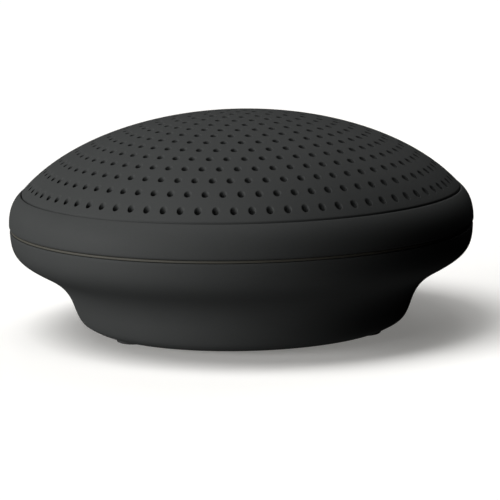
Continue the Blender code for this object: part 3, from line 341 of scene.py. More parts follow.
def winding_finish():
    """Enamelled copper wire, wound turn beside turn, with painted shade between the turns."""
    nodes = NodeTree("coil_winding")
    turns = nodes.bands(0.18 * MM, "Z")
    enamel = nodes.noise(400)
    # painted shade darkens the grooves between turns, and a painted highlight lightens each turn's crest
    nodes.between(nodes.spread(turns, 0, 1, 0, 1), (0.30, 0.11, 0.05), (0.78, 0.38, 0.20))
    nodes.rough(enamel, 0.28, 0.42)
    nodes.bump(turns, 0.03 * MM, 0.8)
    return nodes.constant(Metallic=1.0)


def board_finish():
    """Solder mask over copper traces, with rows of tinned pads."""
    nodes = NodeTree("solder_mask")
    values = {"Scale": 260, "Mortar Size": 0.035, "Mortar Smooth": 0.4, "Bias": 0.1}
    traces = nodes.node("ShaderNodeTexBrick", values)
    nodes.link(nodes.mapped(rotation=(0, 0, math.radians(45))), traces.inputs["Vector"])
    wear = nodes.noise(300)
    nodes.between(traces.outputs["Fac"], (0.010, 0.085, 0.035), (0.030, 0.190, 0.080))
    nodes.rough(wear, 0.30, 0.42)
    nodes.bump(traces.outputs["Fac"], 0.02 * MM, 0.5)
    return nodes.constant(Coat_Weight=0.3, Coat_Roughness=0.15)


def wrap_finish():
    """Heat-shrunk film over the cell, with faint wrinkles."""
    nodes = NodeTree("cell_film")
    wrinkle = nodes.noise(180, detail=3, stretch=(1, 4, 1))
    nodes.between(wrinkle, (0.52, 0.55, 0.58), (0.66, 0.68, 0.70))
    nodes.rough(wrinkle, 0.24, 0.36)
    nodes.bump(wrinkle, 0.05 * MM, 0.5)
    return nodes.constant(Coat_Weight=0.2, Coat_Roughness=0.2)


def speckled_finish(name, base, roughness, metallic=0.0):
    """Sintered or foamed material: many small pits."""
    nodes = NodeTree(name)
    pits = nodes.cells(1600)
    cloud = nodes.noise(200)
    nodes.between(nodes.combine(pits, cloud, "ADD"), *shades(base, 0.18))
    nodes.rough(cloud, roughness - 0.06, roughness + 0.06)
    nodes.bump(pits, 0.03 * MM, 0.6)
    return nodes.constant(Metallic=metallic)


def clear_finish():
    """Light pipe of clear acrylic, faintly clouded inside."""
    nodes = NodeTree("light_pipe_acrylic")
    cloud = nodes.noise(700)
    nodes.between(cloud, (0.80, 0.84, 0.86), (0.92, 0.95, 0.97))
    nodes.rough(cloud, 0.06, 0.14)
    nodes.bump(cloud, 0.003 * MM, 0.4)
    return nodes.constant(Transmission_Weight=0.85, IOR=1.49)


def panel_finish():
    """Glossy black panel with fine hairline wear."""
    nodes = NodeTree("control_panel_gloss")
    hair = nodes.noise(900, detail=5, stretch=(0.15, 1, 1))
    smear = nodes.noise(160)
    nodes.between(smear, *shades(settings().finishes.panel, 0.15))
    nodes.rough(nodes.combine(hair, smear, "ADD"), 0.14, 0.26)
    nodes.bump(hair, 0.002 * MM, 0.4)
    return nodes.constant(Coat_Weight=0.4, Coat_Roughness=0.08)


def ink_finish():
    """Pale ink of the marks."""
    nodes = moulded_finish("printed_mark", settings().finishes.print_ink, 0.55, 2500, 0.06, 0.004)
    return nodes.constant(Specular_IOR_Level=0.4)


def plain(name, base, roughness, grain_size=900, variation=0.10, coat=0.0):
    """A moulded finish with no more than a clear coat on it."""
    return moulded_finish(name, base, roughness, grain_size, variation).constant(Coat_Weight=coat)


def make_finishes():
    """Each finish by the name of the record's slot that it is for."""
    return {
        "soft_touch": soft_touch_finish(),
        "inner_plastic": plain("inner_moulding", (0.030, 0.030, 0.032), 0.55),
        "gasket": seam_finish(),
        "rubber": foot_finish(),
        "cloth": woven_finish("acoustic_cloth", (0.010, 0.010, 0.011), 0.28 * MM),
        "steel": metal_finish("zinc_plated_steel", (0.56, 0.57, 0.60), 0.32, (1, 6, 1)),
        "black_steel": metal_finish("blackened_steel", (0.050, 0.050, 0.056), 0.45),
        "paper": paper_finish(),
        "copper": winding_finish(),
        "spider_cloth": woven_finish("impregnated_cloth", (0.45, 0.28, 0.10), 0.35 * MM),
        "ferrite": speckled_finish("sintered_ferrite", (0.085, 0.085, 0.090), 0.60),
        "circuit_board": board_finish(),
        "chip": plain("epoxy_moulding", (0.024, 0.024, 0.026), 0.50, 3000),
        "capacitor_sleeve": plain("shrink_sleeve", (0.030, 0.050, 0.160), 0.35, 700, coat=0.2),
        "nylon": plain("natural_nylon", (0.78, 0.75, 0.68), 0.50, 1200, 0.05),
        "cell_wrap": wrap_finish(),
        "foam_tape": speckled_finish("foam_tape", (0.72, 0.71, 0.67), 0.90),
        "clear": clear_finish(),
        "wire_red": plain("red_insulation", (0.52, 0.020, 0.018), 0.40, 1400, coat=0.1),
        "wire_black": plain("black_insulation", (0.015, 0.015, 0.016), 0.40, 1400, coat=0.1),
        "gloss_panel": panel_finish(),
        "ink": ink_finish(),
    }


FINISHES = {}


def finish(name):
    """A finish by its slot's name. All of them are made at the first call."""
    if not FINISHES:
        FINISHES.update(make_finishes())
    return FINISHES[name]


def settings():
    """The sizes and colours in use."""
    return bpy.context.scene.portable_speaker


# ---------------------------------------------------------------- tools for making shapes


def piece(name, shape, slot, body=HOUSING, replaces=(), smooth=40):
    """A finished piece from a bmesh: closed, facing out, at the origin, with its finish and its body."""
    mesh = bpy.data.meshes.new(name)
    shape.to_mesh(mesh)
    shape.free()
    obj = bpy.data.objects.new(name, mesh)
    bpy.context.scene.collection.objects.link(obj)
    mesh.materials.append(finish(slot))
    mesh.shade_smooth()
    mesh.set_sharp_from_angle(angle=math.radians(smooth))
    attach(obj, body)
    if replaces:
        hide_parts(*replaces)
    return obj


def spun(profile, steps, closed=True):
    """A bmesh of a profile of (radius, height) points, spun a full turn about Z."""
    shape = bmesh.new()
    verts = [shape.verts.new((radius, 0, height)) for radius, height in profile]
    pairs = list(zip(verts, verts[1:]))
    if closed:
        pairs.append((verts[-1], verts[0]))
    edges = [shape.edges.new(pair) for pair in pairs]
    turn = {"cent": (0, 0, 0), "axis": (0, 0, 1), "angle": 2 * math.pi, "use_merge": True}
    bmesh.ops.spin(shape, geom=verts + edges, steps=steps, **turn)
    bmesh.ops.remove_doubles(shape, verts=shape.verts, dist=WELD)
    bmesh.ops.dissolve_degenerate(shape, dist=WELD, edges=shape.edges)
    bmesh.ops.recalc_face_normals(shape, faces=shape.faces)
    return shape


def arc(start, heading_start, reach_start, end, heading_end, reach_end, count):
    """Points of a smooth curve between two (radius, height) points, with headings in degrees."""
    ways = [
        (math.cos(math.radians(h)) * reach, math.sin(math.radians(h)) * reach)
        for h, reach in ((heading_start, reach_start), (heading_end, reach_end))
    ]
    first, last = Vector((*start, 0)), Vector((*end, 0))
    leave = first + Vector((*ways[0], 0))
    arrive = last - Vector((*ways[1], 0))
    return [(p.x, p.y) for p in interpolate_bezier(first, leave, arrive, last, count)]


def rounded(points, radius, count=4):
    """A closed profile with every corner rounded."""
    made = []
    for before, at, after in zip([points[-1]] + points, points, points[1:] + points[:1]):
        at = Vector(at)
        toward = [(Vector(p) - at) for p in (before, after)]
        reach = min(radius, toward[0].length / 2.2, toward[1].length / 2.2)
        start, end = (at + way.normalized() * reach for way in toward)
        for i in range(count + 1):
            t = i / count
            made.append(tuple(start * (1 - t) ** 2 + 2 * at * t * (1 - t) + end * t * t))
    return made


def block(size, centre, rounding=0.0, axis="Y", segments=4):
    """A bmesh box with the edges along one axis rounded."""
    shape = bmesh.new()
    bmesh.ops.create_cube(shape, size=1.0, matrix=Matrix.Diagonal((*size, 1)))
    if rounding:
        way = "XYZ".index(axis)
        edges = [e for e in shape.edges if abs((e.verts[0].co - e.verts[1].co)[way]) > size[way] / 2]
        bmesh.ops.bevel(
            shape, geom=edges, offset=rounding, segments=segments, profile=0.5, affect="EDGES", material=-1
        )
    bmesh.ops.translate(shape, verts=shape.verts, vec=centre)
    return shape


def rod(radius, start, length_along, axis="Z", sides=48):
    """A bmesh cylinder from a start point along +Z or +Y."""
    shape = bmesh.new()
    bmesh.ops.create_cone(
        shape,
        cap_ends=True,
        segments=sides,
        radius1=radius,
        radius2=radius,
        depth=length_along,
        matrix=Matrix.Translation((0, 0, length_along / 2)),
    )
    if axis == "Y":
        bmesh.ops.rotate(shape, verts=shape.verts, matrix=Matrix.Rotation(-math.pi / 2, 3, "X"))
    bmesh.ops.translate(shape, verts=shape.verts, vec=start)
    return shape


def helper(shape):
    """An object for a Boolean, removed again when the Boolean is done."""
    mesh = bpy.data.meshes.new("helper")
    shape.to_mesh(mesh)
    shape.free()
    obj = bpy.data.objects.new("helper", mesh)
    bpy.context.scene.collection.objects.link(obj)
    return obj


def combined(shape, steps):
    """The bmesh after a list of (operation, other bmesh) Booleans."""
    base = helper(shape)
    others = []
    for operation, other in steps:
        others.append(helper(other))
        modifier = base.modifiers.new(operation, "BOOLEAN")
        modifier.operation = operation
        modifier.object = others[-1]
        modifier.solver = "EXACT"
    bpy.context.view_layer.update()
    made = bmesh.new()
    made.from_object(base, bpy.context.evaluated_depsgraph_get())
    for obj in [base, *others]:
        mesh = obj.data
        bpy.data.objects.remove(obj)
        bpy.data.meshes.remove(mesh)
    if not made.faces:
        raise RuntimeError("a Boolean left nothing")
    bmesh.ops.remove_doubles(made, verts=made.verts, dist=WELD)
    bmesh.ops.dissolve_degenerate(made, dist=WELD, edges=made.edges)
    return made


def laid_along_y(shape, x):
    """A shape spun about Z, laid down along +Y at the bay's height."""
    bmesh.ops.rotate(shape, verts=shape.verts, matrix=Matrix.Rotation(-math.pi / 2, 3, "X"))
    bmesh.ops.translate(shape, verts=shape.verts, vec=(x, 0, BAY_Z))
    return shape


def soften(obj, width, segments=2):
    """A small bevel on the sharp edges of a piece."""
    bevel = obj.modifiers.new("soft_edges", "BEVEL")
    bevel.width = width
    bevel.segments = segments
    bevel.limit_method = "ANGLE"
    bevel.angle_limit = math.radians(40)
    bevel.harden_normals = True


def middle_of(node):
    low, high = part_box(node)
    return (low + high) / 2


# ---------------------------------------------------------------- outlines


def dome_height(radius, inward=0.0):
    """Height of the dome, or of the surface that far inside it, at a radius."""
    sizes = settings().grille
    share = min(radius / (sizes.half_width - inward), 1)
    return DOME_HIGH.z - sizes.half_depth + (sizes.half_depth - inward) * math.sqrt(1 - share * share)


def rim_outline():
    """The ring's outside, from its edge at the crease down to the seam."""
    sizes = settings().housing
    crest = (RING_BORE + sizes.edge, UPPER_HIGH.z - 0.32 * MM)
    edge = arc((RING_BORE, crest[1] - 0.6 * MM), 90, 0.45 * MM, crest, -42, 0.30 * MM, 8)
    widest = RIM_RADIUS + sizes.bulge
    side = arc(crest, -42, 1.7 * MM, (widest, SEAM_TOP + 0.45 * MM), -90, 3.6 * MM, 22)
    lower = arc(side[-1], -90, 0.2 * MM, (widest - 0.22 * MM, SEAM_TOP), 205, 0.12 * MM, 5)
    return edge + side[1:] + lower[1:]


def bowl_outline():
    """The lower shell's outside, from the seam down to the pedestal's edge."""
    sizes = settings().housing
    turn = (RIM_RADIUS - sizes.bowl_inset, BASE_Z + sizes.bowl_height)
    waist = (RIM_RADIUS - sizes.waist_inset, BASE_Z + sizes.waist_height)
    edge = (RIM_RADIUS - sizes.base_inset, BASE_Z + 0.3 * MM)
    widest = RIM_RADIUS + sizes.bulge
    lip_start = (widest - 0.36 * MM, SEAM_BOTTOM)
    lip_end = (widest - 0.14 * MM, SEAM_BOTTOM - 0.25 * MM)
    lip = arc(lip_start, 0, 0.12 * MM, lip_end, -91, 0.12 * MM, 5)
    bowl = arc(lip[-1], -92, 4.8 * MM, turn, 209, 5.5 * MM, 26)
    neck = arc(turn, 209, 4.3 * MM, waist, 251, 4.1 * MM, 16)
    foot = arc(waist, 251, 4.1 * MM, edge, 209, 2.2 * MM, 12)
    return lip + bowl[1:] + neck[1:] + foot[1:]


def inside_of(outline, thickness):
    """An outline moved in by a wall's thickness."""
    moved = []
    for i, point in enumerate(outline):
        before = Vector(outline[max(i - 1, 0)])
        after = Vector(outline[min(i + 1, len(outline) - 1)])
        along = (after - before).normalized()
        moved.append((point[0] + thickness * along.y, point[1] - thickness * along.x))
    return moved


# ---------------------------------------------------------------- perforated dome

CELL_SHARE = 0.43  # half of a hole's cell, as a share of the pitch between rings
LIP_BLEND = 2.6  # the second loop round a hole, in widths of its lip
SHEET_INSET = 0.45 * MM  # the pattern ends this far in, and the skirt's inner wall as far again


def hole_cell(shape, ring, half_inner, half_outer):
    """One hole in the flat, with its lip and the surface up to its neighbours' share."""
    sizes = settings().grille
    sides = sizes.sides
    hole_radius = sizes.hole / 2
    turn = math.pi / sides if sides % 8 else 0.0
    turned = Matrix.Rotation(turn, 4, "Z")
    loop = bmesh.ops.create_circle(shape, segments=sides, radius=hole_radius, matrix=turned)["verts"]
    cell = list(loop)
    for vert in loop:
        vert.co.z = -sizes.lip
    for margin in (sizes.lip, LIP_BLEND * sizes.lip, None):
        edges = [e for e in {e for v in loop for e in v.link_edges} if all(v in loop for v in e.verts)]
        grown = bmesh.ops.extrude_edge_only(shape, edges=edges)["geom"]
        loop = [g for g in grown if isinstance(g, bmesh.types.BMVert)]
        cell += loop
        for vert in loop:
            angle = math.atan2(vert.co.y, vert.co.x)
            if margin is not None:
                reach = hole_radius + margin
                vert.co = (reach * math.cos(angle), reach * math.sin(angle), 0)
    middle = ring * sizes.pitch
    outline = {v: math.atan2(v.co.y, v.co.x) for v in loop}
    for vert in cell:
        if vert not in outline:
            vert.co.x += middle
    for vert, angle in outline.items():
        if ring:
            across, along = math.cos(angle), math.sin(angle)
            larger = max(abs(across), abs(along))
            across, along = across / larger, along / larger
            radius = middle + across * (half_outer if across > 0 else half_inner)
            bearing = along * math.pi / (6 * ring)
            vert.co = (radius * math.cos(bearing), radius * math.sin(bearing), 0)
        else:
            vert.co = (half_outer * math.cos(angle), half_outer * math.sin(angle), 0)
    return cell


def open_edges_by_radius(shape):
    """The open edges whose ends lie at one radius, by that radius in micrometres."""
    found = {}
    for edge in shape.edges:
        if len(edge.link_faces) == 1:
            ends = {round(math.hypot(v.co.x, v.co.y) * 1e6) for v in edge.verts}
            if max(ends) - min(ends) <= 1:
                found.setdefault(min(ends), []).append(edge)
    return found


def loop_at(found, radius):
    key = round(radius * 1e6)
    return found.get(key - 1, []) + found.get(key, []) + found.get(key + 1, [])


def perforated_sheet(shape, last_radius):
    """The flat pattern: rings of holes, each ring joined to the next, out to a radius."""
    sizes = settings().grille
    half = CELL_SHARE * sizes.pitch
    for ring in range(sizes.rings + 1):
        outer = last_radius - ring * sizes.pitch if ring == sizes.rings else half
        cell = hole_cell(shape, ring, half, outer)
        if not ring:
            continue
        count = 6 * ring
        faces = {f for v in cell for f in v.link_faces}
        edges = {e for f in faces for e in f.edges}
        bmesh.ops.spin(
            shape,
            geom=list(cell) + list(edges) + list(faces),
            cent=(0, 0, 0),
            axis=(0, 0, 1),
            angle=2 * math.pi * (count - 1) / count,
            steps=count - 1,
            use_duplicate=True,
        )
    bmesh.ops.remove_doubles(shape, verts=shape.verts, dist=JOIN)
    found = open_edges_by_radius(shape)
    for ring in range(sizes.rings):
        inner = loop_at(found, ring * sizes.pitch + half)
        outer = loop_at(found, (ring + 1) * sizes.pitch - half)
        bmesh.ops.bridge_loops(shape, edges=inner + outer)


def lift(vert, inward):
    """Puts a point of the pattern on the dome, or on the surface that far inside it."""
    vert.co.z = dome_height(math.hypot(vert.co.x, vert.co.y), inward)


def make_grille_shape():
    """The dome as one closed shell: perforated top, hole walls straight down, thin skirt."""
    sizes = settings().grille
    shape = bmesh.new()
    sheet_radius = CAP_RADIUS - SHEET_INSET
    perforated_sheet(shape, sheet_radius)
    top = list(shape.faces)
    open_edges = [e for e in shape.edges if len(e.link_faces) == 1]
    rim = loop_at(open_edges_by_radius(shape), sheet_radius)
    holes = list(set(open_edges) - set(rim))
    for vert in shape.verts:
        vert.co.z += dome_height(math.hypot(vert.co.x, vert.co.y))

    copied = bmesh.ops.duplicate(shape, geom=top)["geom"]
    inner_edge = sheet_radius - SHEET_INSET
    for vert in (g for g in copied if isinstance(g, bmesh.types.BMVert)):
        radius = math.hypot(vert.co.x, vert.co.y)
        if radius > sheet_radius - JOIN:
            vert.co.xy *= inner_edge / radius
        lift(vert, sizes.wall)
    bmesh.ops.reverse_faces(shape, faces=[g for g in copied if isinstance(g, bmesh.types.BMFace)])
    for vert in bmesh.ops.extrude_edge_only(shape, edges=holes)["geom"]:
        if isinstance(vert, bmesh.types.BMVert):
            lift(vert, sizes.wall)

    cap = CAP_RADIUS + 0.15 * MM - settings().housing.crease / 2
    edge_z = dome_height(CAP_RADIUS)
    levels = (
        (sheet_radius + 0.20 * MM, dome_height(sheet_radius + 0.20 * MM)),
        (cap - 0.16 * MM, dome_height(cap - 0.16 * MM) - 0.03 * MM),
        (cap - 0.04 * MM, edge_z - 0.12 * MM),
        (cap, edge_z - 0.32 * MM),
        (cap, DOME_LOW.z),
        (inner_edge, DOME_LOW.z),
        (inner_edge, dome_height(inner_edge, sizes.wall)),
    )
    for radius, height in levels:
        grown = bmesh.ops.extrude_edge_only(shape, edges=rim)["geom"]
        rim = [g for g in grown if isinstance(g, bmesh.types.BMEdge)]
        for vert in (g for g in grown if isinstance(g, bmesh.types.BMVert)):
            vert.co.xy *= radius / math.hypot(vert.co.x, vert.co.y)
            vert.co.z = height
    bmesh.ops.remove_doubles(shape, verts=shape.verts, dist=JOIN)
    bmesh.ops.recalc_face_normals(shape, faces=shape.faces)
    if any(len(e.link_faces) != 2 for e in shape.edges):
        raise RuntimeError("the dome isn't closed")
    return shape


# ---------------------------------------------------------------- operators


class SPEAKER_OT_grille(bpy.types.Operator):
    """Make the dome with its rings of holes"""

    bl_idname = "speaker.grille"
    bl_label = "Perforated dome"

    def execute(self, context):
        shape = make_grille_shape()
        obj = piece("perforated_dome", shape, "soft_touch", replaces=("grille_dome",), smooth=50)
        if len(obj.data.polygons) < 1000:
            raise RuntimeError("the dome has no holes")
        return {"FINISHED"}


class SPEAKER_OT_cloth(bpy.types.Operator):
    """Make the acoustic cloth that is stretched behind the holes"""

    bl_idname = "speaker.cloth"
    bl_label = "Acoustic cloth"

    def execute(self, context):
        count, thickness = 24, 0.4 * MM
        radii = [CLOTH_HIGH.x * i / count for i in range(count + 1)]
        drop = dome_height(0) - CLOTH_HIGH.z
        top = [(r, dome_height(r, drop)) for r in radii]
        under = [(r, dome_height(r, drop + thickness)) for r in radii]
        shape = spun(top + under[::-1], INNER_STEPS, closed=False)
        obj = piece("acoustic_cloth", shape, "cloth", replaces=("grille_cloth",))
        return {"FINISHED"}


class SPEAKER_OT_upper_shell(bpy.types.Operator):
    """Make the ring of the upper shell"""

    bl_idname = "speaker.upper_shell"
    bl_label = "Upper shell"

    def execute(self, context):
        ledge_top = DOME_LOW.z - 0.3 * MM
        ledge_under = ledge_top - 2 * MM
        ledge_bore = RING_BORE - 6.4 * MM
        ledge = [(LEDGE_RADIUS, SEAM_TOP), (LEDGE_RADIUS, ledge_under), (ledge_bore, ledge_under)]
        ledge += [(ledge_bore, ledge_top), (RING_BORE, ledge_top)]
        shape = spun(rim_outline() + ledge, RING_STEPS)
        piece("upper_ring", shape, "soft_touch", replaces=("upper_shell",))
        return {"FINISHED"}


class SPEAKER_OT_seam(bpy.types.Operator):
    """Make the band between the two halves"""

    bl_idname = "speaker.seam"
    bl_label = "Seam band"

    def execute(self, context):
        outer = GASKET_HIGH.x + settings().housing.bulge
        low, high = GASKET_LOW.z, GASKET_HIGH.z
        profile = [(outer, high), (outer, low), (LEDGE_RADIUS, low), (LEDGE_RADIUS, high)]
        shape = spun(rounded(profile, 0.14 * MM), RING_STEPS)
        piece("seam_band", shape, "gasket", replaces=("seam_gasket",))
        return {"FINISHED"}


def bay_openings(start_y, depth):
    """Cutters for what passes through the bay's wall and its panel."""
    openings = []
    for kind in BUTTON_KINDS:
        x = middle_of(f"button_{kind}").x
        openings.append(rod(BUTTON_OPENING, (x, start_y, BAY_Z), depth, "Y"))
    for name, width, height, corner in (
        ("slide_switch", SLIDER_SLOT, SLIDER_SLOT_HEIGHT, 0.3 * MM),
        ("usb_socket", CHARGING_OPENING, CHARGING_OPENING_HEIGHT, 0.8 * MM),
    ):
        centre = (middle_of(name).x, start_y + depth / 2, BAY_Z)
        openings.append(block((width, depth, height), centre, corner))
    for name, radius in (
        ("audio_jack", AUDIO_OPENING),
        ("light_pipe", LIGHT_OPENING),
        ("microphone", MICROPHONE_OPENING),
    ):
        openings.append(rod(radius, (middle_of(name).x, start_y, BAY_Z), depth, "Y", 32))
    return openings


class SPEAKER_OT_lower_shell(bpy.types.Operator):
    """Make the bowl and pedestal, with the bay for the controls at the back"""

    bl_idname = "speaker.lower_shell"
    bl_label = "Lower shell"

    def execute(self, context):
        cuts = [("UNION", self.thickened_back()), ("DIFFERENCE", self.pocket())]
        for opening in bay_openings(BAY_BACK_Y - 2 * MM, 5.5 * MM):
            cuts.append(("DIFFERENCE", opening))
        for number in FEET:
            low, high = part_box(f"foot_{number}")
            radius = (high.x - low.x) / 2 + FOOT_CLEARANCE
            start = Vector(((low.x + high.x) / 2, (low.y + high.y) / 2, BASE_Z - 2 * MM))
            recess = rod(radius, start, high.z + BED_GAP - start.z, sides=FOOT_STEPS)
            cuts.append(("DIFFERENCE", recess))
        shape = combined(self.bowl(), cuts)
        piece("bowl_and_pedestal", shape, "soft_touch", replaces=("lower_shell",), smooth=35)
        return {"FINISHED"}

    def bowl(self):
        """The bowl with its floor and the tongue that the ring sits round."""
        wall = settings().housing.wall
        outside = bowl_outline()
        floor_top = BASE_Z + wall
        lowest, highest = floor_top + 0.3 * MM, SEAM_BOTTOM - 3 * MM
        inside = [p for p in inside_of(outside, wall)[::3] if lowest < p[1] < highest]
        profile = [(0, floor_top), (inside[-1][0] - 0.6 * MM, floor_top)] + inside[::-1]
        profile += [(TONGUE_INNER, SEAM_BOTTOM - 1.4 * MM), (TONGUE_INNER, LOWER_HIGH.z)]
        profile += [(TONGUE_OUTER, LOWER_HIGH.z), (TONGUE_OUTER, SEAM_BOTTOM)] + outside
        edge = outside[-1][0]
        profile += [(edge - 0.5 * MM, BASE_Z + 0.1 * MM), (edge - 1.4 * MM, BASE_Z), (0, BASE_Z)]
        return spun(profile, BOWL_STEPS, closed=False)

    def thickened_back(self):
        """The material that the bay is cut into, as far out as the bowl."""
        outside = bowl_outline()
        envelope = [(0, SEAM_BOTTOM)] + outside + [(0, outside[-1][1])]
        size = (BAY_WIDTH + 4.8 * MM, BAY_REACH, BAY_HEIGHT + 1.4 * MM)
        thick = block(size, (0, BAY_BACK_Y + BAY_REACH / 2, BAY_Z))
        return combined(thick, [("INTERSECT", spun(envelope, BOWL_STEPS, closed=False))])

    def pocket(self):
        """The bay itself."""
        size = (BAY_WIDTH, BAY_REACH, BAY_HEIGHT)
        return block(size, (0, BAY_FACE_Y + BAY_REACH / 2, BAY_Z), 1.2 * MM)


class SPEAKER_OT_feet(bpy.types.Operator):
    """Make the three rubber feet"""

    bl_idname = "speaker.feet"
    bl_label = "Feet"

    def execute(self, context):
        for number in FEET:
            low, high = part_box(f"foot_{number}")
            radius = (high.x - low.x) / 2
            side, under = (radius, FOOT_EDGE), (radius - FOOT_EDGE, 0)
            profile = [(0, high.z), (radius, high.z), side]
            profile += arc(side, -90, 0.25 * MM, under, 180, 0.25 * MM, 6)[1:]
            profile += [(radius - 1.0 * MM, 0), (radius - 1.2 * MM, 0.12 * MM), (0, 0.12 * MM)]
            shape = spun(profile, FOOT_STEPS, closed=False)
            centre = ((low.x + high.x) / 2, (low.y + high.y) / 2, 0)
            bmesh.ops.translate(shape, verts=shape.verts, vec=centre)
            piece(f"foot_pad_{number}", shape, "rubber", replaces=(f"foot_{number}",))
        return {"FINISHED"}


class SPEAKER_OT_panel(bpy.types.Operator):
    """Make the glossy panel round the controls"""

    bl_idname = "speaker.panel"
    bl_label = "Control panel"

    def execute(self, context):
        size = FASCIA_HIGH - FASCIA_LOW
        middle = (FASCIA_HIGH + FASCIA_LOW) / 2
        sheet = block(size, middle, 0.9 * MM, segments=6)
        cuts = [("DIFFERENCE", opening) for opening in bay_openings(FASCIA_LOW.y - 1 * MM, 3 * MM)]
        shape = combined(sheet, cuts)
        obj = piece("control_panel", shape, "gloss_panel", replaces=("control_fascia",), smooth=30)
        soften(obj, 0.06 * MM)
        return {"FINISHED"}


def mark_shape(kind, x, face_y):
    """The raised mark on a button: bars for minus and plus, a triangle for play."""
    stroke, span, reach, depth = 0.26 * MM, 1.30 * MM, 0.72 * MM, 0.10 * MM
    centre = Vector((x, face_y - depth / 2 + 0.03 * MM, BAY_Z))
    if kind == "play":
        shape = bmesh.new()
        facing = Matrix.Rotation(-math.pi / 2, 4, "X") @ Matrix.Rotation(math.pi / 3, 4, "Z")
        size = {"segments": 3, "radius1": reach, "radius2": reach, "depth": depth}
        bmesh.ops.create_cone(shape, cap_ends=True, matrix=facing, **size)
        bmesh.ops.translate(shape, verts=shape.verts, vec=centre)
        return shape
    bar = block((span, depth, stroke), centre, stroke / 3)
    if kind == "minus":
        return bar
    return combined(bar, [("UNION", block((stroke, depth * 0.98, span), centre, stroke / 3))])


class SPEAKER_OT_buttons(bpy.types.Operator):
    """Make the three buttons and their marks"""

    bl_idname = "speaker.buttons"
    bl_label = "Buttons"

    def execute(self, context):
        for kind in BUTTON_KINDS:
            low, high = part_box(f"button_{kind}")
            x, face, collar = (low.x + high.x) / 2, high.y, (high.x - low.x) / 2
            collar_end = COLLAR_Y - COLLAR_THICKNESS
            cap_edge, cap_side = (BUTTON_CAP * 0.84, face), (BUTTON_CAP, face - 0.30 * MM)
            profile = [(0, face - 0.12 * MM), (BUTTON_CAP * 0.62, face - 0.10 * MM)]
            profile += [(BUTTON_CAP * 0.80, face - 0.01 * MM)]
            profile += arc(cap_edge, 0, 0.15 * MM, cap_side, -90, 0.16 * MM, 6)
            profile += [(BUTTON_CAP, COLLAR_Y), (collar, COLLAR_Y), (collar, collar_end)]
            profile += [(BUTTON_STEM, collar_end), (BUTTON_STEM, low.y), (0, low.y)]
            shape = laid_along_y(spun(profile, BUTTON_STEPS, closed=False), x)
            body = f"{kind}_button"
            piece(f"{kind}_cap", shape, "soft_touch", body, (f"button_{kind}",))
            piece(f"{kind}_mark", mark_shape(kind, x, face - 0.06 * MM), "ink", body)
        return {"FINISHED"}


class SPEAKER_OT_slider(bpy.types.Operator):
    """Make the power slider with its grip ridges"""

    bl_idname = "speaker.slider"
    bl_label = "Power slider"

    def execute(self, context):
        low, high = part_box("power_slider")
        x = (low.x + high.x) / 2
        start_y = COLLAR_Y - 0.3 * MM
        knob_length = high.y - 0.22 * MM - start_y
        size = (SLIDER_WIDTH, knob_length, SLIDER_HEIGHT)
        knob = block(size, (x, start_y + knob_length / 2, BAY_Z), 0.2 * MM)
        steps = []
        size = (0.24 * MM, 0.5 * MM, SLIDER_HEIGHT * 0.96)
        for place in (-0.75, -0.25, 0.25, 0.75):
            centre = (x + place * MM, high.y - 0.25 * MM, BAY_Z)
            steps.append(("UNION", block(size, centre, 0.08 * MM, "Z")))
        size = (SLIDER_WIDTH + 1 * MM, COLLAR_THICKNESS, SLIDER_HEIGHT + 1 * MM)
        collar = block(size, (x, COLLAR_Y - COLLAR_THICKNESS / 2, BAY_Z))
        stem_length = COLLAR_Y - COLLAR_THICKNESS / 2 - low.y
        size = (SLIDER_STEM, stem_length, SLIDER_STEM)
        stem = block(size, (x, low.y + stem_length / 2, BAY_Z))
        shape = combined(knob, steps + [("UNION", collar), ("UNION", stem)])
        obj = piece("slider_knob", shape, "soft_touch", "power_knob", ("power_slider",), smooth=30)
        soften(obj, 0.04 * MM)
        return {"FINISHED"}


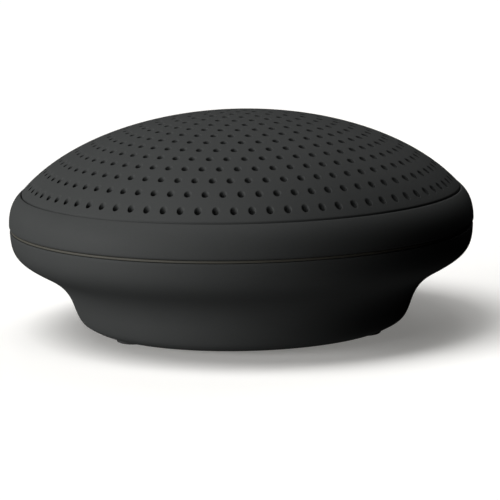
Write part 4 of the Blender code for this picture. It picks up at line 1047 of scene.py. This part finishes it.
class SPEAKER_OT_sockets(bpy.types.Operator):
    """Make the charging socket, the audio socket and the light pipe"""

    bl_idname = "speaker.sockets"
    bl_label = "Sockets"

    def execute(self, context):
        self.charging_socket()
        self.audio_socket()
        self.light_pipe()
        return {"FINISHED"}

    def light_pipe(self):
        low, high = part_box("light_pipe")
        radius = (high.x - low.x) / 2
        profile = [(0, high.y), (radius * 0.6, high.y - 0.04 * MM), (radius, high.y - 0.18 * MM)]
        profile += [(radius, low.y), (0, low.y)]
        shape = laid_along_y(spun(profile, 24, closed=False), (low.x + high.x) / 2)
        piece("light_pipe_lens", shape, "clear", replaces=("light_pipe",))

    def charging_socket(self):
        low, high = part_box("usb_socket")
        x, middle_y, depth = (low.x + high.x) / 2, (low.y + high.y) / 2, high.y - low.y
        tube = block((CHARGING_WIDTH, depth, CHARGING_HEIGHT), (x, middle_y, BAY_Z), 0.7 * MM)
        size = (CHARGING_WIDTH - 2 * CHARGING_SHEET, depth, CHARGING_HEIGHT - 2 * CHARGING_SHEET)
        mouth = block(size, (x, middle_y + 1.0 * MM, BAY_Z), 0.45 * MM)
        shape = combined(tube, [("DIFFERENCE", mouth)])
        obj = piece("charging_socket", shape, "steel", replaces=("usb_socket",), smooth=30)
        soften(obj, 0.05 * MM)
        tongue_y = high.y - 3.0 * MM
        size = (CHARGING_WIDTH - 3.0 * MM, 4.8 * MM, 0.6 * MM)
        piece("charging_tongue", block(size, (x, tongue_y, BAY_Z), 0.1 * MM), "chip", smooth=30)
        size = (0.34 * MM, 3.6 * MM, 0.06 * MM)
        for number in range(CONTACTS):
            place = x + (number - CONTACTS // 2) * CONTACT_PITCH
            contact = block(size, (place, tongue_y + 0.2 * MM, BAY_Z - 0.32 * MM))
            piece(f"charging_contact_{number + 1}", contact, "copper", smooth=30)

    def audio_socket(self):
        low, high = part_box("audio_jack")
        x, size, middle = (low.x + high.x) / 2, high - low, (low + high) / 2
        hole = rod(AUDIO_BORE, (x, low.y + 1.5 * MM, BAY_Z), size.y, "Y", 40)
        shape = combined(block(size, middle, 0.3 * MM), [("DIFFERENCE", hole)])
        piece("audio_socket", shape, "chip", replaces=("audio_jack",), smooth=30)
        start, end = high.y + 0.05 * MM, FASCIA_HIGH.y - 0.05 * MM
        inner, outer = AUDIO_BORE + 0.02 * MM, AUDIO_BORE + 0.26 * MM
        ring = [(inner, start), (outer, start), (outer, end), (inner, end)]
        shape = laid_along_y(spun(rounded(ring, 0.05 * MM, 2), 40), x)
        piece("audio_socket_ring", shape, "steel")


class SPEAKER_OT_surround(bpy.types.Operator):
    """Make the driver's surround: the roll stays on the basket, its lip moves with the cone"""

    bl_idname = "speaker.surround"
    bl_label = "Driver surround"

    def execute(self, context):
        sheet, base, count = 0.4 * MM, SURROUND_LOW.z, 20
        inner, outer = CONE_HIGH.x + 0.4 * MM, SURROUND_HIGH.x - 1.0 * MM
        middle, half = (inner + outer) / 2, (outer - inner) / 2
        height = SURROUND_HIGH.z - base - sheet
        turns = [math.pi * i / count for i in range(count + 1)]
        under = [(middle + (half - sheet) * math.cos(a), base + height * math.sin(a)) for a in turns]
        over = [(middle + half * math.cos(a), base + sheet + height * math.sin(a)) for a in turns]
        flange = [(outer - sheet, base), (SURROUND_HIGH.x, base), (SURROUND_HIGH.x, base + sheet)]
        roll = under[::-1] + flange + over + [(inner, base)]
        piece("surround_roll", spun(roll, INNER_STEPS), "rubber", replaces=("surround",))
        lip_inner, lip_outer = CONE_HIGH.x - 0.8 * MM, inner - 0.15 * MM
        lip = [(lip_inner, base), (lip_outer, base)]
        lip += [(lip_outer, base + sheet), (lip_inner, base + sheet)]
        piece("surround_lip", spun(lip, INNER_STEPS), "rubber", "driver_cone", ("surround",))
        return {"FINISHED"}


class SPEAKER_OT_inner_parts(bpy.types.Operator):
    """Give the driver, the electronics and the fixings their finishes"""

    bl_idname = "speaker.inner_parts"
    bl_label = "Inner parts"

    def execute(self, context):
        for name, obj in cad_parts.items():
            for slot in obj.material_slots:
                key = slot.material.name.split(".")[0] if slot.material else ""
                if key not in FINISHES:
                    raise RuntimeError(f"{name} has the unknown finish {key}")
                slot.material = FINISHES[key]
        return {"FINISHED"}


# ---------------------------------------------------------------- stage


# Each light's name, azimuth from the front and negative to the left, height above the horizon,
# strength and spread. The one below the horizon stands for light that a pale table throws back.
SUNS = (
    ("low_key", -82, 7, 2.22, 26),
    ("high_key", -80, 65, 2.15, 40),
    ("front_fill", -58, 6, 1.20, 26),
    ("through_table", -58, -28, 1.00, 60),
    ("overhead", 0, 90, 0.42, 25),
    ("behind", 160, 45, 0.36, 40),
)
AMBIENT = 0.004
TABLE_RADIUS = 6.0
TABLE_GLOW = 0.18

CAMERA_AZIMUTH, CAMERA_ELEVATION, CAMERA_ROLL = -5.25, 9.79, 1.08
CAMERA_DISTANCE = 650 * MM
CAMERA_LENS, CAMERA_SENSOR = 214.6, 36
AIM_RIGHT, AIM_HEIGHT = 1.77 * MM, 16.5 * MM


def direction(azimuth, elevation):
    """The way out towards a light or a camera, from degrees."""
    a, e = math.radians(azimuth), math.radians(elevation)
    return Vector((math.sin(a) * math.cos(e), -math.cos(a) * math.cos(e), math.sin(e)))


def soft_sun(name, azimuth, elevation, strength, spread):
    """A light as wide as its spread in degrees."""
    sun = bpy.data.lights.new(name, "SUN")
    sun.energy = strength
    sun.angle = math.radians(spread)
    lamp = bpy.data.objects.new(name, sun)
    lamp.location = direction(azimuth, elevation)
    lamp.rotation_euler = lamp.location.to_track_quat("Z", "Y").to_euler()
    bpy.context.scene.collection.objects.link(lamp)


class SPEAKER_OT_stage(bpy.types.Operator):
    """Make the floor, the lights and the camera"""

    bl_idname = "speaker.stage"
    bl_label = "Stage"

    def execute(self, context):
        scene = context.scene
        scene.view_settings.view_transform = "Standard"
        self.floor(scene)
        for sun in SUNS:
            soft_sun(*sun)
        world = bpy.data.worlds.new("studio")
        world.use_nodes = True
        background = world.node_tree.nodes["Background"]
        background.inputs["Color"].default_value = (1, 1, 1, 1)
        background.inputs["Strength"].default_value = AMBIENT
        scene.world = world
        self.camera(scene)
        return {"FINISHED"}

    def floor(self, scene):
        """A pale table that catches shadows. It neither lights the speaker nor shades it."""
        shape = bmesh.new()
        bmesh.ops.create_circle(shape, cap_ends=True, segments=96, radius=TABLE_RADIUS)
        mesh = bpy.data.meshes.new("floor")
        shape.to_mesh(mesh)
        shape.free()
        floor = bpy.data.objects.new("floor", mesh)
        scene.collection.objects.link(floor)
        nodes = NodeTree("pale_table")
        mottle = nodes.noise(30)
        nodes.between(mottle, *shades(settings().finishes.floor, 0.01))
        nodes.rough(mottle, 0.75, 0.85)
        nodes.constant(Emission_Color=(1.0, 0.985, 0.95, 1), Emission_Strength=TABLE_GLOW)
        mesh.materials.append(nodes.constant(Specular_IOR_Level=0.1))
        floor.visible_diffuse = False
        floor.visible_glossy = False
        floor.visible_shadow = False

    def camera(self, scene):
        azimuth = math.radians(CAMERA_AZIMUTH)
        right = Vector((math.cos(azimuth), math.sin(azimuth), 0))
        back = direction(CAMERA_AZIMUTH, CAMERA_ELEVATION)
        data = bpy.data.cameras.new("camera")
        data.sensor_width = CAMERA_SENSOR
        data.lens = CAMERA_LENS
        data.clip_start, data.clip_end = 0.01, 50
        camera = bpy.data.objects.new("camera", data)
        camera.rotation_mode = "QUATERNION"
        roll = Matrix.Rotation(-math.radians(CAMERA_ROLL), 3, "Z").to_quaternion()
        camera.rotation_quaternion = (-back).to_track_quat("-Z", "Y") @ roll
        camera.location = right * AIM_RIGHT + Vector((0, 0, AIM_HEIGHT)) + back * CAMERA_DISTANCE
        scene.collection.objects.link(camera)
        scene.camera = camera


class SPEAKER_PT_panel(bpy.types.Panel):
    """Lists the operators and settings in the 3D view's sidebar"""

    bl_idname = "SPEAKER_PT_panel"
    bl_label = "Portable speaker"
    bl_space_type = "VIEW_3D"
    bl_region_type = "UI"
    bl_category = "Speaker"

    def draw(self, context):
        for operator in OPERATORS:
            self.layout.operator(operator.bl_idname)
        for group in ("grille", "housing", "finishes"):
            box = self.layout.box()
            box.label(text=group.capitalize())
            owner = getattr(context.scene.portable_speaker, group)
            for name in owner.__annotations__:
                box.prop(owner, name)


OPERATORS = (
    SPEAKER_OT_stage,
    SPEAKER_OT_grille,
    SPEAKER_OT_cloth,
    SPEAKER_OT_upper_shell,
    SPEAKER_OT_seam,
    SPEAKER_OT_lower_shell,
    SPEAKER_OT_feet,
    SPEAKER_OT_panel,
    SPEAKER_OT_buttons,
    SPEAKER_OT_slider,
    SPEAKER_OT_sockets,
    SPEAKER_OT_surround,
    SPEAKER_OT_inner_parts,
)
CLASSES = (GrilleSizes, HousingSizes, Finishes, SpeakerSettings, *OPERATORS, SPEAKER_PT_panel)


def register():
    for cls in CLASSES:
        bpy.utils.register_class(cls)
    bpy.types.Scene.portable_speaker = PointerProperty(type=SpeakerSettings)


def unregister():
    del bpy.types.Scene.portable_speaker
    for cls in reversed(CLASSES):
        bpy.utils.unregister_class(cls)


def main():
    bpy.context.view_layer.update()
    register()
    for operator in OPERATORS:
        group, name = operator.bl_idname.split(".")
        getattr(getattr(bpy.ops, group), name)()


if __name__ == "__main__":
    main()
